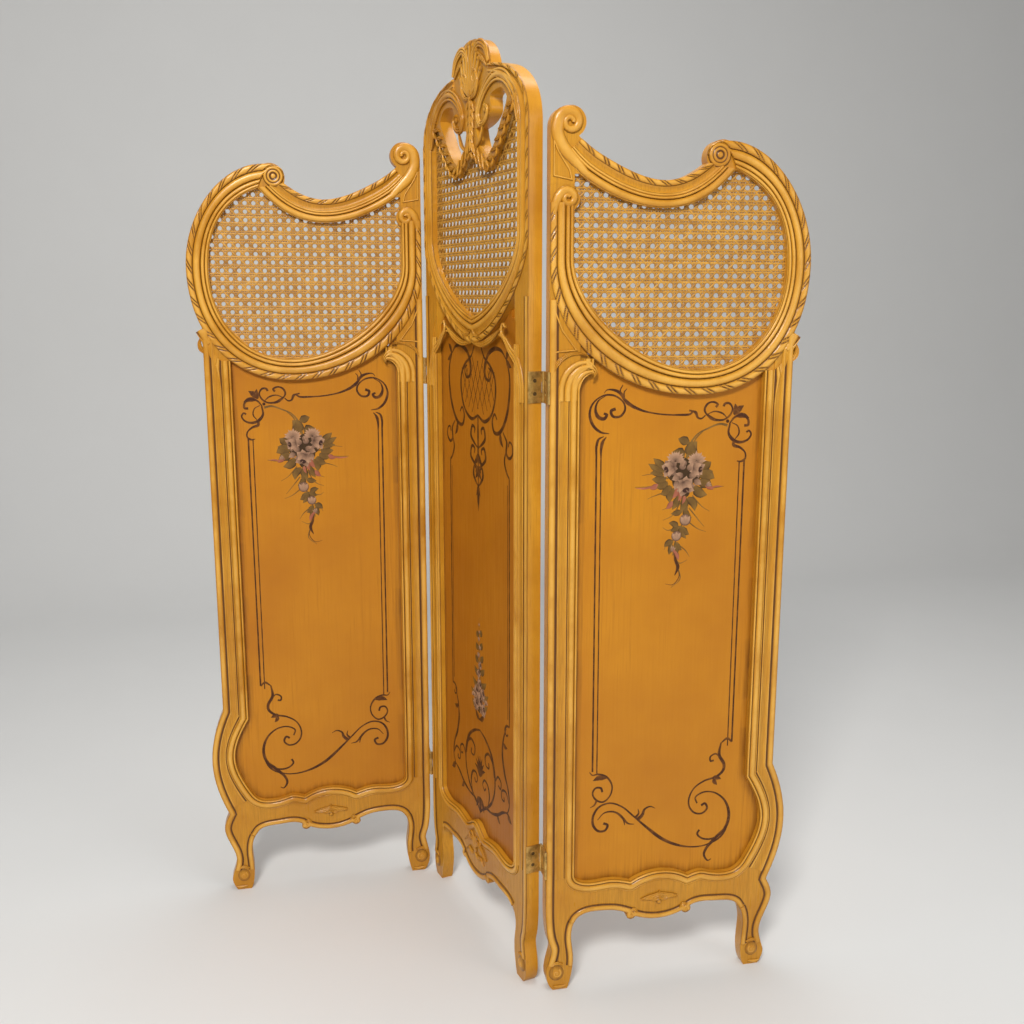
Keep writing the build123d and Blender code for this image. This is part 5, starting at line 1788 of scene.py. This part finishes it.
@dataclass(frozen=True)
class Studio:
    """A pale floor and wall with broad soft lights."""

    floor: tuple = (0.70, 0.70, 0.69)
    sky: float = 0.24
    back: float = 2.6
    bend: float = 1.2
    half_width: float = 12.0
    reach: float = 9.0

    def build(self):
        """Builds the floor, the lights and the world."""
        s = Shade("pale_floor")
        grey = s.noise(s.place(), 3, 2)
        material = s.done(s.blend(grey, self.floor, tuple(c * 0.97 for c in self.floor)), 0.75)
        sweep = bmesh.new()
        profile = [(-self.reach, 0.0), (self.back, 0.0)]
        for step in range(1, 9):
            angle = math.radians(step * 90 / 8)
            profile.append((self.back + self.bend * math.sin(angle), self.bend * (1 - math.cos(angle))))
        profile.append((self.back + self.bend, self.reach))
        sides = (-self.half_width, self.half_width)
        rows = [[sweep.verts.new((x, y, z)) for x in sides] for y, z in profile]
        for a, b in zip(rows, rows[1:]):
            sweep.faces.new((a[0], a[1], b[1], b[0])).smooth = True
        mesh = bpy.data.meshes.new("floor_sweep")
        sweep.to_mesh(mesh)
        sweep.free()
        mesh.materials.append(material)
        floor = bpy.data.objects.new("floor_sweep", mesh)
        bpy.context.scene.collection.objects.link(floor)
        for name, spot, aim, size, power, warmth in (
            ("key", (-1.3, -3.4, 3.6), (0, 0, 1.0), 0.9, 165, (1.0, 0.98, 0.95)),
            ("fill", (3.0, -3.2, 2.0), (0, 0, 0.9), 2.2, 30, (1.0, 0.99, 0.97)),
            ("top", (0.2, 0.2, 4.2), (0, 0, 0.6), 2.0, 70, (1.0, 1.0, 1.0)),
        ):
            data = bpy.data.lights.new(name, "AREA")
            data.size = size
            data.energy = power
            data.color = warmth
            lamp = bpy.data.objects.new(name, data)
            lamp.location = spot
            lamp.rotation_euler = (Vector(aim) - Vector(spot)).to_track_quat("-Z", "Y").to_euler()
            bpy.context.scene.collection.objects.link(lamp)
        world = bpy.data.worlds.new("studio")
        world.use_nodes = True
        world.node_tree.nodes["Background"].inputs[0].default_value = (1, 1, 1, 1)
        world.node_tree.nodes["Background"].inputs[1].default_value = self.sky
        bpy.context.scene.world = world
        bpy.context.scene.view_settings.view_transform = "Standard"


@dataclass(frozen=True)
class Camera:
    """The camera, at about eye height in front of the screen."""

    spot: tuple = (-0.3927, -2.1774, 1.3827)
    heading: float = -12.0
    tilt: float = -11.28
    lens: float = 37.96

    def build(self):
        """Places the camera."""
        data = bpy.data.cameras.new("camera")
        data.lens = self.lens
        data.sensor_width = 36
        camera = bpy.data.objects.new("camera", data)
        camera.location = self.spot
        camera.rotation_euler = (math.radians(90 + self.tilt), 0, math.radians(self.heading))
        bpy.context.scene.collection.objects.link(camera)
        bpy.context.scene.camera = camera


def dress(finish):
    """Gives every CAD node the material of its kind."""
    kinds = (("screw", "screw"), ("pin", "steel"), ("plate", "brass"), ("hinge_link", "brass"),
             ("spline", "reed"), ("cane_panel", "cane"), ("painted_panel", "panel"), ("cane_net", "cane"))
    for name, piece in frame["nodes"].items():
        kind = next((k for word, k in kinds if word in name), "wood")
        if not piece.material_slots:
            piece.data.materials.append(finish[kind])
        for slot in piece.material_slots:
            slot.material = finish[kind]


def main():
    """Builds the screen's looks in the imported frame."""
    logging.basicConfig(level=logging.INFO, format="%(message)s", stream=sys.stdout)
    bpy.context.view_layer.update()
    finish = finishes()
    dress(finish)
    stand = places()
    Camera().build()
    Studio().build()
    for side in (Side.LEFT, Side.RIGHT):
        leaf = SideLeaf(side, stand[side], finish["wood"])
        leaf.build()
        shaded_panel(side, stand[side], leaf.panel_edge(), leaf.crown_line(), finish["panel"])
        SidePanelPaint(side, stand[side], finish).build()
        CaneWeave(f"{side.value}_cane_weave", stand[side], side_cane_edge(), finish["cane"],
                  f"{side.value}_cane_panel", 3 if side is Side.LEFT else 5).build()
    leaf = CentreLeaf(stand[Side.CENTRE], finish["wood"])
    leaf.build()
    shaded_panel(Side.CENTRE, stand[Side.CENTRE], leaf.opening(), leaf.crown_line(), finish["centre"])
    CentrePanelPaint(stand[Side.CENTRE], finish).build()
    CaneWeave("centre_cane_weave", stand[Side.CENTRE], centre_cane_edge(), finish["cane"],
              "centre_cane_panel", 7).build()


if __name__ == "__main__":
    main()
